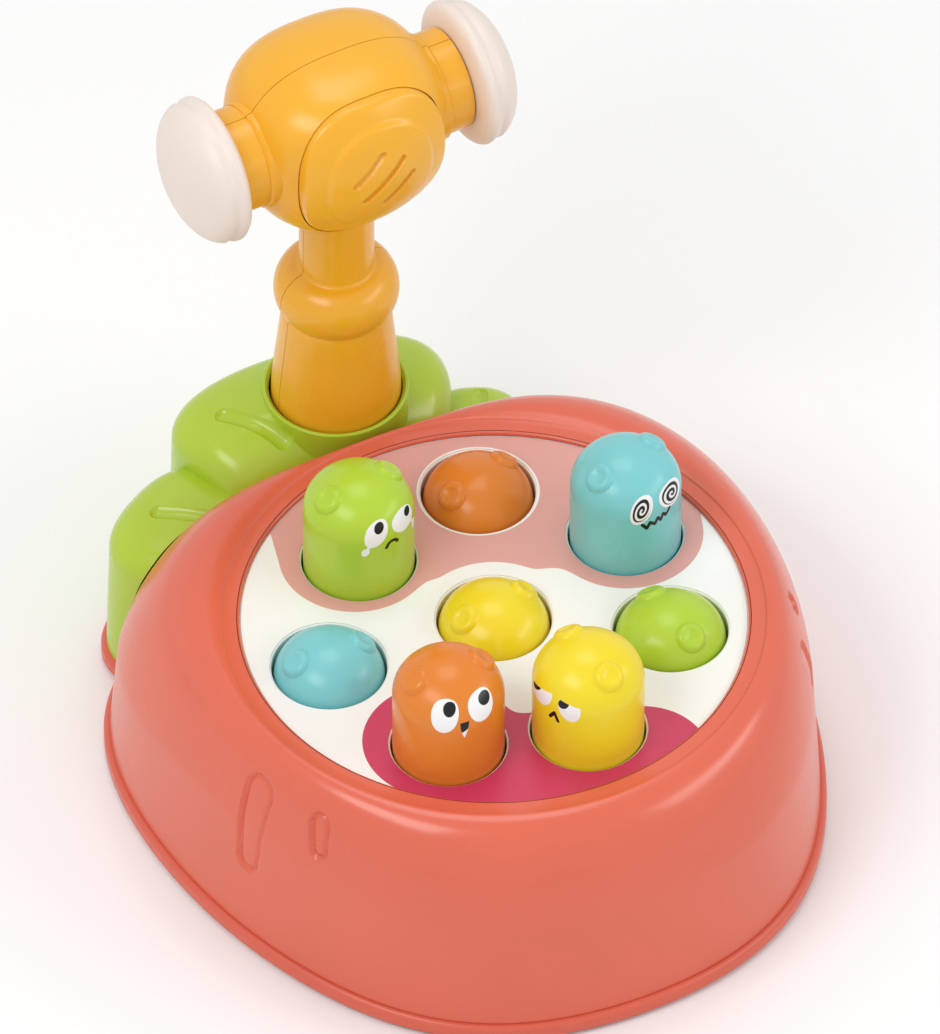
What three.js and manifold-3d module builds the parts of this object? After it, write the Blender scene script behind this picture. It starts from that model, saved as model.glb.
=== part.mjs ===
// Mole pounding game for toddlers: a carrot shaped body with eight moles that move in see-saw
// pairs, a cluster of leaves with a socket, and the toy hammer that stands in the socket.
// Millimetres, +Z up. The front of the toy faces -Y and the leaves are at the back, at +Y.
import * as THREE from 'three';
import { mergeVertices } from 'three/addons/utils/BufferGeometryUtils.js';
import Module from 'manifold-3d';

// Clearances and overruns
const FIT_GAP = 0.3;
const MERGE_DISTANCE = 0.0005;
const CUT_OVERRUN = 2;

// Base plate and feet
const FOOT_RADIUS = 8;
const FOOT_PROUD = 1.2;
const FOOT_RECESS = 1.2;
const BASE_FLOOR = 2.6;
const BASE_RIM_HEIGHT = 5;
const BASE_RIM_PROUD = 1.8;
const BASE_LAND = 6;
const FOOT_CLEARANCE = 2;

// Carrot body: its wall is a circle with a few waves added, widest near the back
const BODY_RADIUS = 99.6;
const BODY_WAVE_SHARES = [-0.0263, -0.0157, 0.0759, -0.0574, 0.0196, -0.0107];
const BODY_DRAFT = 2.4;
const BODY_WALL = 2.2;
const SHOULDER_DROP = 18.5;
const SHOULDER_DROP_SHARE = 0.62;
const SHOULDER_RISE_ANGLE = 23;
const SHOULDER_START_SHARE = 0.6;
const SHOULDER_END_SHARE = 0.25;

// Carrot marks pressed into the shoulder and the wall: the angles from the front of their two ends, then
// how far down the ends are, where 0 is the panel ring, 1 the top of the wall and 2 its foot
const MARK_DEPTH = 1.3;
const LONG_MARK_RADIUS = 8.5;
const SHORT_MARK_RADIUS = 4.5;
const MARK_PLACES = [
  { angles: [-75.2, -75.6], shares: [0.43, 1.45], radius: LONG_MARK_RADIUS },
  { angles: [-60.8, -59], shares: [0.43, 0.81], radius: SHORT_MARK_RADIUS },
  { angles: [61.4, 65.5], shares: [0.51, 1.45], radius: LONG_MARK_RADIUS },
  { angles: [73.9, 70.6], shares: [0.39, 0.51], radius: SHORT_MARK_RADIUS },
  { angles: [135.8, 131.9], shares: [0.49, 0.52], radius: SHORT_MARK_RADIUS },
];

// Game panel, its printed sheet and the ring of the body round it
const PANEL_HEIGHT = 70;
const PANEL_OPENING_RADIUS = 72;
const PANEL_THICKNESS = 2.4;
const SHEET_THICKNESS = 0.3;
const SHEET_HOLE_MARGIN = 0.6;
const RING_WIDTH = 4.2;
const RING_THICKNESS = 1.7;

// Moles, whose size goes with the opening that holds all eight
const MOLE_RADIUS_SHARE = 0.2222;
const MOLE_WALL = 1.8;
const MOLE_HOLE_GAP = 0.55;
const MOLE_DOME = 13;
const MOLE_SHOW = 20.6;
const MOLE_SKIRT = 16;
const MOLE_FLANGE_PROUD = 2;
const MOLE_FLANGE_THICKNESS = 2;
const EAR_RADIUS = 3.7;
const EAR_PROUD = 1.7;
const EAR_SINK = 1.5;
const EAR_ROUND = 0.9;
const EAR_DISH = 0.7;
const EAR_OFFSET_SHARE = 0.66;
const EAR_TURN = 65;
const STOP_GAP = 0.6;
const GUIDE_WALL = 1.75;

// See-saw units: three lie across a ring of holes and one runs out from the centre hole. The raised
// mole is a quarter turn from the middle's direction, or straight along it where across is 0
const UNITS = [
  { name: 'a', middleAngle: 42.5, across: -1, raised: 'blue', lowered: 'orange' },
  { name: 'b', middleAngle: -57.5, across: -1, raised: 'yellow', lowered: 'green' },
  { name: 'c', middleAngle: -157.5, across: 1, raised: 'orange', lowered: 'blue' },
  { name: 'd', middleAngle: 122.5, across: 0, raised: 'green', lowered: 'yellow' },
];
const PAIR_SPACING_SHARE = 0.6306;
const HOLE_RING_SHARE = 0.7028;
const LEVER_CLEARANCE = 3.9;
const SKIRT_CLEARANCE = 1.4;
const PIN_RADIUS = 1.5;
const PIN_PLAY = 0.5;
const ROCKER_PLATE = 2.4;
const ROCKER_HUB_RADIUS = 4.6;
const ROCKER_END_RADIUS = 3.4;
const AXLE_RADIUS = 2;
const AXLE_HEAD_RADIUS = 3.4;
const AXLE_HEAD = 1.4;
const STAND_THICKNESS = 3;
const STAND_HALF_WIDTH = 4.6;
const TAB_THICKNESS = 3.6;
const TAB_EDGE = 2.2;
const TAB_RISE = 11;
const STEM_RADIUS = 4;
const DISC_THICKNESS = 2;

// Leaves, with the socket for the hammer. Each leaf has the middle of its outline at an angle from the
// front and off the body's foot, the way it points from the back towards the left in degrees, half its
// width and length, how much wider it is at the tip, the height of its top and its crown. Its vein is a
// groove between two points, as shares of the leaf's half width and half length
const LEAF_PLACES = [
  {
    angle: -177.2,
    standOff: 15.6,
    turn: -2,
    halfWidth: 41,
    halfLength: 33.1,
    taperShare: 0.27,
    top: 69.5,
    crown: 8.8,
    vein: [[-0.61, 0.57], [-0.51, -0.08]],
  },
  {
    angle: -149.3,
    standOff: -2.2,
    turn: 30,
    halfWidth: 25.1,
    halfLength: 21.7,
    taperShare: 0,
    top: 54.6,
    crown: 3.7,
    vein: [[0.05, 0.59], [0.13, -0.16]],
  },
  {
    angle: 157,
    standOff: -1.1,
    turn: -22.4,
    halfWidth: 18.2,
    halfLength: 22.3,
    taperShare: 0,
    top: 47.3,
    crown: 2.1,
    vein: [[0.1, 0.66], [0.08, 0.12]],
  },
];
const LEAF_WALL = 2.2;
const LEAF_DRAFT = 1.2;
const LEAF_ROUND = 7;
const LEAF_SQUARENESS = 2.5;
const LEAF_FRONT_BEHIND_SOCKET = 1.7;
const LEAF_FRONT_DROP = 16;
const LEAF_FRONT_REACH = 24;
const VEIN_RADIUS = 2.5;
const VEIN_DEPTH = 1.2;
const SOCKET_STAND_OFF = 19.9;
const SOCKET_RADIUS = 19.4;
const SOCKET_WALL = 1.9;
const SOCKET_DEPTH = 24;
const SOCKET_FLOOR = 2.2;

// Hammer
const HAMMER_TURN = 2.7;
const HAMMER_WALL = 2;
const HANDLE_RADII = [18.2, 18.9, 18.7, 17.4, 15.8];
const HANDLE_RISES = [3, 14, 27, 38, 50];
const HANDLE_FOOT_EDGE = 0.6;
const GRIP_RADIUS = 10.9;
const GRIP_ROUND = 7.1;
const GRIP_RISE = 63.2;
const NECK_RADIUS = 10.65;
const HEAD_RISE = 130.5;
const HEAD_HALF = [30, 29, 29];
const HEAD_SQUARENESS = 2.6;
const HEAD_WALL = 4.4;
const ARM_RADIUS = 15.2;
const ARM_REACH = 37;
const ARM_RING_PROUD = 1.1;
const ARM_RING_SET_BACK = 6;
const PAD_RADIUS = 21.8;
const PAD_STAND = 5.5;
const PAD_EDGE = 2.6;
const PAD_EDGE_SHARES = { back: -0.33, widest: 0.5, front: 1.3 };
const PAD_CROWN = 3.4;
const PAD_CROWN_SHARES = [[0.75, 0.5], [0.4, 0.85], [0, 1]];
const PAD_STEM_RADIUS = 8;
const PAD_STEM = 9;
const PLATE_HALF = [23.5, 24.5];
const PLATE_LIFT = 2;
const PLATE_INNER_HALF = [16.4, 17.9];
const PLATE_INNER_LIFT = 3;
const PLATE_SQUARENESS = 2.3;
const PLATE_PROUD = 0.7;
const PLATE_STEP = 1.1;
const PLATE_THICKNESS = 2;
const SLOT_LENGTHS = [13.5, 18, 13.5];
const SLOT_WIDTH = 2.2;
const SLOT_SLANT = 48;
const SLOT_MIDDLE = [1.7, 3.3];
const SLOT_STEP = [5.2, -2.5];
const SLOT_DEPTH = 1.2;

// Screws
const SCREW_RADIUS = 1.2;
const SCREW_HEAD_RADIUS = 2.7;
const SCREW_HEAD = 1.6;
const SCREW_LENGTH = 9;
const HAMMER_SCREW_SEAT = 5;
const HAMMER_SCREW_RISES = [34, 85];
const SCREW_SINK = 0.4;
const BOSS_WALL = 2.2;
const PANEL_EAR_DROP = 7;
const PANEL_EAR_THICKNESS = 2.4;
const PANEL_EAR_WALL = 3;
const PANEL_SCREW_ANGLES = [-62, 62, -138, 138];
const BODY_SCREW_ANGLES = [-38, 38, -118, 118];
const FOOT_ANGLES = [-35, 35, -132, 132];

// Facets
const BODY_STEPS = 48;
const SHOULDER_STEPS = 5;
const ROUND_STEPS = 16;
const MIDDLE_STEPS = 12;
const SMALL_STEPS = 8;
const LEAF_STEPS = 24;
const ARC_STEPS = 3;
const VEIN_STEPS = 4;
const MARK_STEPS = 4;
const HEAD_STEPS = 20;
const HEAD_RINGS = 10;
const LEAF_CROWN_SHARES = [0.33, 0.67];

// Heights and radii that follow from the sizes above
const baseTop = FOOT_PROUD + BASE_RIM_HEIGHT;
const floorTop = FOOT_PROUD + BASE_FLOOR;
const creaseRadius = PANEL_OPENING_RADIUS + RING_WIDTH;
const ringTop = PANEL_HEIGHT + RING_THICKNESS;
const panelTop = PANEL_HEIGHT - SHEET_THICKNESS;
const panelBottom = panelTop - PANEL_THICKNESS;
const panelRadius = creaseRadius - BODY_WALL - FIT_GAP;
const moleRadius = MOLE_RADIUS_SHARE * PANEL_OPENING_RADIUS;
const moleHoleRadius = moleRadius + MOLE_HOLE_GAP;
const moleFlangeTop = PANEL_HEIGHT - MOLE_SKIRT + MOLE_FLANGE_THICKNESS;
const guideBottom = moleFlangeTop + STOP_GAP;
const holeRingRadius = HOLE_RING_SHARE * PANEL_OPENING_RADIUS;
const halfSpacing = (PAIR_SPACING_SHARE * PANEL_OPENING_RADIUS) / 2;
// Floor to panel holds half a travel below the pivot and a whole one above it, with the parts between
const lowestPivot = floorTop + LEVER_CLEARANCE + ROCKER_END_RADIUS;
const skirtRoom = ROCKER_HUB_RADIUS + SKIRT_CLEARANCE + MOLE_SKIRT;
const halfTravel = (PANEL_HEIGHT - lowestPivot - skirtRoom) / 3;
const moleTravel = 2 * halfTravel;
const pivotHeight = lowestPivot + halfTravel;
const pinArm = halfSpacing + (halfTravel * halfTravel) / (4 * halfSpacing);
const rockerAngle = Math.asin(halfTravel / pinArm);
const pinSway = (pinArm - pinArm * Math.cos(rockerAngle)) / 2;
const plateInner = TAB_THICKNESS / 2 + PIN_PLAY;
const plateOuter = plateInner + ROCKER_PLATE;
const standInner = plateOuter + PIN_PLAY;
const standOuter = standInner + STAND_THICKNESS;
const socketRim = PANEL_HEIGHT;
const socketBottom = socketRim - SOCKET_DEPTH;
const collarRadius = SOCKET_RADIUS + SOCKET_WALL;
const hammerFoot = socketBottom + FIT_GAP;
const padCentre = ARM_REACH + PAD_STAND;
const hammerReach = padCentre + PAD_RADIUS;
const bossRadius = SCREW_RADIUS + FIT_GAP + BOSS_WALL;
const screwHeadRoom = SCREW_HEAD_RADIUS + FIT_GAP;

const wasm = await Module();
wasm.setup();

// Solids

function toSolid(geometry) {
  const plain = geometry.clone();
  plain.deleteAttribute('normal');
  plain.deleteAttribute('uv');
  const merged = mergeVertices(plain, MERGE_DISTANCE);
  const vertProperties = Float32Array.from(merged.attributes.position.array);
  const triVerts = Uint32Array.from(merged.index.array);
  return new wasm.Manifold(new wasm.Mesh({ numProp: 3, vertProperties, triVerts }));
}

function toGeometry(solid) {
  const mesh = solid.getMesh();
  const geometry = new THREE.BufferGeometry();
  geometry.setAttribute('position', new THREE.BufferAttribute(mesh.vertProperties, 3));
  geometry.setIndex(new THREE.BufferAttribute(mesh.triVerts, 1));
  geometry.computeVertexNormals();
  return geometry;
}

function joined(solids) {
  return solids.reduce((all, solid) => all.add(solid));
}

function cutBy(solid, cutters) {
  return cutters.reduce((left, cutter) => left.subtract(cutter), solid);
}

// A closed solid through rings of points, lowest ring first, each running anticlockwise from above
function loft(rings) {
  const count = rings[0].length;
  const points = rings.flat();
  const centre = (ring) => ring.reduce((sum, p) => sum.add(p), new THREE.Vector3()).divideScalar(count);
  const bottom = points.push(centre(rings[0])) - 1;
  const top = points.push(centre(rings[rings.length - 1])) - 1;
  const faces = [];
  for (let j = 0; j < count; j += 1) {
    const k = (j + 1) % count;
    const last = (rings.length - 1) * count;
    faces.push(bottom, k, j, top, last + j, last + k);
    for (let i = 0; i + 1 < rings.length; i += 1) {
      const low = i * count;
      const high = low + count;
      faces.push(low + j, low + k, high + k, low + j, high + k, high + j);
    }
  }
  const geometry = new THREE.BufferGeometry().setFromPoints(points);
  geometry.setIndex(faces);
  return toSolid(geometry);
}

// A solid of revolution about Z from [radius, height] pairs that start and end on the axis
function turned(profile, steps = ROUND_STEPS) {
  const points = profile.map(([radius, height]) => new THREE.Vector2(radius, height));
  return toSolid(new THREE.LatheGeometry(points, steps).rotateX(Math.PI / 2));
}

function cylinder(radius, low, high, steps = ROUND_STEPS) {
  return turned([[0, low], [radius, low], [radius, high], [0, high]], steps);
}

function cylinderAt(x, y, radius, low, high, steps = SMALL_STEPS) {
  return cylinder(radius, low, high, steps).translate([x, y, 0]);
}

function block(low, high) {
  const size = high.map((value, i) => value - low[i]);
  const middle = high.map((value, i) => (value + low[i]) / 2);
  return toSolid(new THREE.BoxGeometry(...size)).translate(middle);
}

// A flat outline, given as [x, y] pairs, raised from one height to another
function prism(outline, low, high) {
  const shape = new THREE.Shape(outline.map(([x, y]) => new THREE.Vector2(x, y)));
  const depth = high - low;
  return toSolid(new THREE.ExtrudeGeometry(shape, { depth, bevelEnabled: false })).translate([0, 0, low]);
}

function superEllipse(halfX, halfY, squareness, steps) {
  const power = 2 / squareness;
  return Array.from({ length: steps }, (_, i) => {
    const angle = (2 * Math.PI * i) / steps;
    const x = Math.sign(Math.cos(angle)) * Math.abs(Math.cos(angle)) ** power;
    const y = Math.sign(Math.sin(angle)) * Math.abs(Math.sin(angle)) ** power;
    return [halfX * x, halfY * y];
  });
}

function meshOf(name, solid, material) {
  const mesh = new THREE.Mesh(toGeometry(solid), material);
  mesh.name = name;
  return mesh;
}

function plastic(colour, roughness = 0.35) {
  return new THREE.MeshStandardMaterial({ color: colour, roughness, metalness: 0 });
}

const coral = plastic(0xe0705a);
const leafGreen = plastic(0xa9cf38);
const panelWhite = plastic(0xf2f1ec);
const sheetWhite = plastic(0xf6f3ee, 0.4);
const partWhite = plastic(0xe9e7e0, 0.5);
const amber = plastic(0xe8a426);
const cream = plastic(0xe9ddd2, 0.5);
const rubber = plastic(0x55534f, 0.9);
const steel = new THREE.MeshStandardMaterial({ color: 0xb9bcc0, roughness: 0.35, metalness: 1 });
const moleColours = {
  orange: plastic(0xe0832e),
  blue: plastic(0x7ec6cc),
  green: plastic(0xa9cc3a),
  yellow: plastic(0xecd62c),
};

// Carrot body

// Distance of the wall's foot from the panel centre, at an angle measured from the front
function bodyRadius(angle) {
  const waves = BODY_WAVE_SHARES.map((share, i) => share * Math.cos((i + 1) * angle));
  return BODY_RADIUS * waves.reduce((sum, wave) => sum + wave, 1);
}

function bodyOutline(offset) {
  return Array.from({ length: BODY_STEPS }, (_, i) => {
    const angle = (2 * Math.PI * i) / BODY_STEPS;
    const radius = bodyRadius(angle) + offset;
    return [radius * Math.sin(angle), -radius * Math.cos(angle)];
  });
}

// The shoulder's curve from the ring round the panel out to the top of the wall, as [radius, height]
function shoulderCurve(angle, inset, drop) {
  const inner = creaseRadius - inset;
  const outer = bodyRadius(angle) - BODY_DRAFT - inset;
  const width = outer - inner;
  const top = ringTop - drop;
  const fall = SHOULDER_DROP + SHOULDER_DROP_SHARE * width;
  const rise = (THREE.MathUtils.degToRad(SHOULDER_RISE_ANGLE) * (1 - Math.cos(angle))) / 2;
  const reach = SHOULDER_START_SHARE * width;
  const end = top - fall;
  const climb = SHOULDER_END_SHARE * fall;
  const lean = BODY_DRAFT / (end - baseTop);
  return new THREE.CubicBezierCurve(
    new THREE.Vector2(inner, top),
    new THREE.Vector2(inner + reach * Math.cos(rise), top + reach * Math.sin(rise)),
    new THREE.Vector2(outer - lean * climb, end + climb),
    new THREE.Vector2(outer, end),
  );
}

function bodyPoint(angle, radius, height) {
  return new THREE.Vector3(radius * Math.sin(angle), -radius * Math.cos(angle), height);
}

function bodyForm(inset, drop, foot) {
  const rings = Array.from({ length: SHOULDER_STEPS + 3 }, () => []);
  for (let i = 0; i < BODY_STEPS; i += 1) {
    const angle = (2 * Math.PI * i) / BODY_STEPS;
    rings[0].push(bodyPoint(angle, bodyRadius(angle) - inset, foot));
    const curve = shoulderCurve(angle, inset, drop);
    for (let j = 0; j <= SHOULDER_STEPS; j += 1) {
      const { x, y } = curve.getPoint(1 - j / SHOULDER_STEPS);
      rings[j + 1].push(bodyPoint(angle, x, y));
    }
    rings[SHOULDER_STEPS + 2].push(bodyPoint(angle, PANEL_OPENING_RADIUS / 2, ringTop - drop));
  }
  return loft(rings);
}

// A point on the outer surface and the outward direction there, in the plane of the given angle
function surfaceAt(angle, share) {
  const curve = shoulderCurve(angle, 0, 0);
  const shoulder = Math.min(share, 1);
  const { x, y } = curve.getPoint(shoulder);
  const tangent = curve.getTangent(shoulder);
  const below = Math.max(share - 1, 0);
  const radius = x + below * BODY_DRAFT;
  const height = y - below * (y - baseTop);
  return {
    point: bodyPoint(angle, radius, height),
    outward: bodyPoint(angle, -tangent.y, tangent.x),
  };
}

function ball(radius, centre) {
  const sphere = toSolid(new THREE.SphereGeometry(radius, SMALL_STEPS, SMALL_STEPS / 2));
  return sphere.translate(centre.toArray());
}

// A round bar along a list of points, with a ball on each end
function roundBar(radius, points) {
  const round = new THREE.Shape().absarc(0, 0, radius, 0, 2 * Math.PI);
  const bar = toSolid(new THREE.ExtrudeGeometry(round, {
    steps: points.length - 1,
    curveSegments: SMALL_STEPS / 2,
    extrudePath: new THREE.CatmullRomCurve3(points),
  }));
  return joined([bar, ball(radius, points[0]), ball(radius, points[points.length - 1])]);
}

function carrotMark({ angles, shares, radius }) {
  const points = Array.from({ length: MARK_STEPS }, (_, i) => {
    const [turn, share] = [angles, shares].map(([start, end]) => start + ((end - start) * i) / (MARK_STEPS - 1));
    const { point, outward } = surfaceAt(THREE.MathUtils.degToRad(turn), share);
    return point.addScaledVector(outward, radius - MARK_DEPTH);
  });
  return roundBar(radius, points);
}

// Places of the screws, as an angle from the front and a distance from the panel centre
function place(angleInDegrees, radius) {
  const angle = THREE.MathUtils.degToRad(angleInDegrees);
  return [radius * Math.sin(angle), -radius * Math.cos(angle)];
}

const bodyScrewRadius = creaseRadius + BOSS_WALL + bossRadius;
const panelScrewRadius = creaseRadius + bossRadius;
const panelEarTop = panelBottom - PANEL_EAR_DROP;
const bodyScrewPlaces = BODY_SCREW_ANGLES.map((angle) => place(angle, bodyScrewRadius));
const panelScrewPlaces = PANEL_SCREW_ANGLES.map((angle) => place(angle, panelScrewRadius));

function screwBoss([x, y], low, high) {
  return cylinderAt(x, y, bossRadius, low, high);
}

function screwBore([x, y], low, high) {
  return cylinderAt(x, y, SCREW_RADIUS + FIT_GAP, low, high);
}

function bodyShell() {
  const outer = bodyForm(0, 0, baseTop);
  const inner = bodyForm(BODY_WALL, RING_THICKNESS, baseTop - CUT_OVERRUN);
  const bossBottom = floorTop + FIT_GAP;
  const bosses = [
    ...bodyScrewPlaces.map((at) => screwBoss(at, baseTop, ringTop)),
    ...panelScrewPlaces.map((at) => screwBoss(at, panelEarTop, ringTop)),
  ];
  const feet = bodyScrewPlaces.map((at) => screwBoss(at, bossBottom, baseTop + CUT_OVERRUN));
  const bossesInside = joined(bosses).intersect(outer);
  const shell = joined([outer.subtract(inner), bossesInside, ...feet]);
  return cutBy(shell, [
    cylinder(PANEL_OPENING_RADIUS, panelTop, ringTop + CUT_OVERRUN, BODY_STEPS),
    ...bodyScrewPlaces.map((at) => screwBore(at, bossBottom - CUT_OVERRUN, bossBottom + SCREW_LENGTH)),
    ...panelScrewPlaces.map((at) => screwBore(at, panelEarTop - CUT_OVERRUN, panelEarTop + PANEL_EAR_DROP)),
    ...MARK_PLACES.map(carrotMark),
  ]);
}

// Leaves

const socketY = bodyRadius(Math.PI) + SOCKET_STAND_OFF;
const leafFrontY = socketY + LEAF_FRONT_BEHIND_SOCKET;

const leaves = LEAF_PLACES.map((leaf) => {
  const bodyEdge = bodyRadius(THREE.MathUtils.degToRad(leaf.angle));
  const [x, y] = place(leaf.angle, bodyEdge + leaf.standOff);
  return { ...leaf, x, y };
});

// How far a point is from a leaf's middle, where 1 is its edge
function leafShare(leaf, x, y) {
  const point = new THREE.Vector2(x - leaf.x, y - leaf.y);
  point.rotateAround(new THREE.Vector2(), -THREE.MathUtils.degToRad(leaf.turn));
  const along = point.y / leaf.halfLength;
  const across = point.x / (leaf.halfWidth * (1 + leaf.taperShare * along));
  return (Math.abs(along) ** LEAF_SQUARENESS + Math.abs(across) ** LEAF_SQUARENESS) ** (1 / LEAF_SQUARENESS);
}

// The top of a leaf is crowned, and the big leaf falls away in front of the socket
function leafTop(leaf, x, y) {
  const front = Math.max(0, (leafFrontY - y) / LEAF_FRONT_REACH);
  const fall = leaf.crown * leafShare(leaf, x, y) ** 2;
  return leaf.top - fall - (leaf === leaves[0] ? LEAF_FRONT_DROP * front ** 2 : 0);
}

// A point of a leaf from its shares across and along, with the leaf's edge moved in by an inset
function leafPoint(leaf, inset, [across, along]) {
  const halfWidth = (leaf.halfWidth - inset) * (1 + leaf.taperShare * along);
  const point = new THREE.Vector2(halfWidth * across, (leaf.halfLength - inset) * along);
  point.rotateAround(new THREE.Vector2(), THREE.MathUtils.degToRad(leaf.turn));
  return [leaf.x + point.x, leaf.y + point.y];
}

function leafOutline(leaf, inset) {
  const outline = superEllipse(1, 1, LEAF_SQUARENESS, LEAF_STEPS);
  return outline.map((shares) => leafPoint(leaf, inset, shares));
}

function leafForm(leaf, wall, foot) {
  const ringAt = (inset, heightAt) => (
    leafOutline(leaf, inset).map(([x, y]) => new THREE.Vector3(x, y, heightAt(x, y)))
  );
  const rings = [ringAt(wall, () => foot)];
  for (let i = 0; i <= ARC_STEPS; i += 1) {
    const angle = (Math.PI / 2) * (i / ARC_STEPS);
    const fall = wall + LEAF_ROUND * (1 - Math.sin(angle));
    rings.push(ringAt(wall + LEAF_DRAFT + LEAF_ROUND * (1 - Math.cos(angle)), (x, y) => leafTop(leaf, x, y) - fall));
  }
  const flat = Math.min(leaf.halfWidth, leaf.halfLength) - wall - LEAF_DRAFT - LEAF_ROUND;
  LEAF_CROWN_SHARES.forEach((share) => {
    const inset = wall + LEAF_DRAFT + LEAF_ROUND + flat * share;
    rings.push(ringAt(inset, (x, y) => leafTop(leaf, x, y) - wall));
  });
  return loft(rings);
}

// A bar that follows the top of a leaf from one end of its vein to the other
function leafVein(leaf) {
  const [start, end] = leaf.vein;
  const points = Array.from({ length: VEIN_STEPS + 1 }, (_, i) => {
    const shares = start.map((value, axis) => value + ((end[axis] - value) * i) / VEIN_STEPS);
    const [x, y] = leafPoint(leaf, 0, shares);
    return new THREE.Vector3(x, y, leafTop(leaf, x, y) + VEIN_RADIUS - VEIN_DEPTH);
  });
  return roundBar(VEIN_RADIUS, points);
}

const leafScrewPlaces = [
  ...leaves.slice(1).map((leaf) => [leaf.x, leaf.y + leaf.halfLength / 2]),
  [0, socketY],
];

// The room that the body takes up, grown all round by an offset
function bodyRoom(offset) {
  return prism(bodyOutline(offset), 0, baseTop).add(bodyForm(-offset, -offset, baseTop));
}

function leafCover() {
  const bodySpace = bodyRoom(FIT_GAP);
  const outer = joined(leaves.map((leaf) => leafForm(leaf, 0, baseTop)));
  const inner = joined(leaves.map((leaf) => leafForm(leaf, LEAF_WALL, baseTop - CUT_OVERRUN)));
  const shell = outer.subtract(bodySpace).subtract(inner.subtract(bodyRoom(FIT_GAP + LEAF_WALL)));
  const cup = cylinderAt(0, socketY, collarRadius, socketBottom - SOCKET_FLOOR, socketRim, BODY_STEPS / 2);
  const bore = cylinderAt(0, socketY, SOCKET_RADIUS, socketBottom, socketRim + CUT_OVERRUN, BODY_STEPS / 2);
  const bossBottom = floorTop + FIT_GAP;
  const bosses = leafScrewPlaces.map((at) => screwBoss(at, baseTop, socketRim));
  const feet = leafScrewPlaces.map((at) => screwBoss(at, bossBottom, baseTop + CUT_OVERRUN));
  const bossesInside = joined(bosses).intersect(outer.subtract(bodySpace));
  return cutBy(joined([shell, cup, bossesInside, ...feet]), [
    bore,
    ...leaves.map(leafVein),
    ...leafScrewPlaces.map((at) => screwBore(at, bossBottom - CUT_OVERRUN, bossBottom + SCREW_LENGTH)),
  ]);
}

// Base plate

const footRadius = bodyScrewRadius - FOOT_RADIUS - bossRadius - FOOT_CLEARANCE;
const footPlaces = FOOT_ANGLES.map((angle) => place(angle, footRadius));

function leafFoot(leaf, offset, low, high) {
  return prism(leafOutline(leaf, -offset), low, high);
}

function footprint(offset, low, high) {
  return joined([prism(bodyOutline(offset), low, high), ...leaves.map((leaf) => leafFoot(leaf, offset, low, high))]);
}

// A stand that carries one end of a rocker's axle, in the frame of its see-saw unit
function axleStand(side) {
  const low = side > 0 ? standInner : -standOuter;
  const column = block(
    [-STAND_HALF_WIDTH, low, floorTop - FIT_GAP],
    [STAND_HALF_WIDTH, low + STAND_THICKNESS, pivotHeight],
  );
  const eye = cylinder(STAND_HALF_WIDTH, low, low + STAND_THICKNESS, SMALL_STEPS);
  return column.add(eye.rotate([-90, 0, 0]).translate([0, 0, pivotHeight]));
}

function axleBore() {
  const bore = cylinder(AXLE_RADIUS + FIT_GAP, -standOuter - CUT_OVERRUN, standOuter + CUT_OVERRUN, SMALL_STEPS);
  return bore.rotate([-90, 0, 0]).translate([0, 0, pivotHeight]);
}

function basePlate() {
  const slab = footprint(BASE_RIM_PROUD, FOOT_PROUD, baseTop);
  const tray = footprint(-BASE_LAND, floorTop, baseTop + CUT_OVERRUN);
  const stands = UNITS.map((unit) => {
    const { x, y, heading } = unitPlace(unit);
    const pair = axleStand(1).add(axleStand(-1)).subtract(axleBore());
    return pair.rotate([0, 0, THREE.MathUtils.radToDeg(heading)]).translate([x, y, 0]);
  });
  const screwPlaces = [...bodyScrewPlaces, ...leafScrewPlaces];
  return cutBy(joined([slab.subtract(tray), ...stands]), [
    ...footPlaces.map(([x, y]) => (
      cylinderAt(x, y, FOOT_RADIUS + FIT_GAP, FOOT_PROUD - CUT_OVERRUN, FOOT_PROUD + FOOT_RECESS, MIDDLE_STEPS)
    )),
    ...screwPlaces.map((at) => screwBore(at, 0, baseTop + CUT_OVERRUN)),
    ...screwPlaces.map(([x, y]) => (
      cylinderAt(x, y, screwHeadRoom, 0, FOOT_PROUD + SCREW_HEAD + SCREW_SINK)
    )),
  ]);
}

function foot([x, y]) {
  return cylinderAt(x, y, FOOT_RADIUS, 0, FOOT_PROUD + FOOT_RECESS, MIDDLE_STEPS);
}

// See-saw units

// The middle of a see-saw unit and its heading, which runs from the lowered mole to the raised one
function unitPlace({ middleAngle, across }) {
  const angle = THREE.MathUtils.degToRad(middleAngle);
  const chord = Math.sqrt(holeRingRadius ** 2 - halfSpacing ** 2);
  const distance = across === 0 ? halfSpacing : chord;
  return {
    x: distance * Math.cos(angle),
    y: distance * Math.sin(angle),
    heading: angle + (across * Math.PI) / 2,
  };
}

function holePlaces() {
  return UNITS.flatMap((unit) => {
    const { x, y, heading } = unitPlace(unit);
    return [1, -1].map((side) => [
      x + side * halfSpacing * Math.cos(heading),
      y + side * halfSpacing * Math.sin(heading),
    ]);
  });
}

// A quarter of an ellipse from the axis out to the given radius, as [radius, height] pairs
function dome(radius, height, steps) {
  return Array.from({ length: steps + 1 }, (_, i) => {
    const angle = (Math.PI / 2) * (1 - i / steps);
    return [i === 0 ? 0 : radius * Math.cos(angle), MOLE_SHOW + height * Math.sin(angle)];
  });
}

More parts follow.
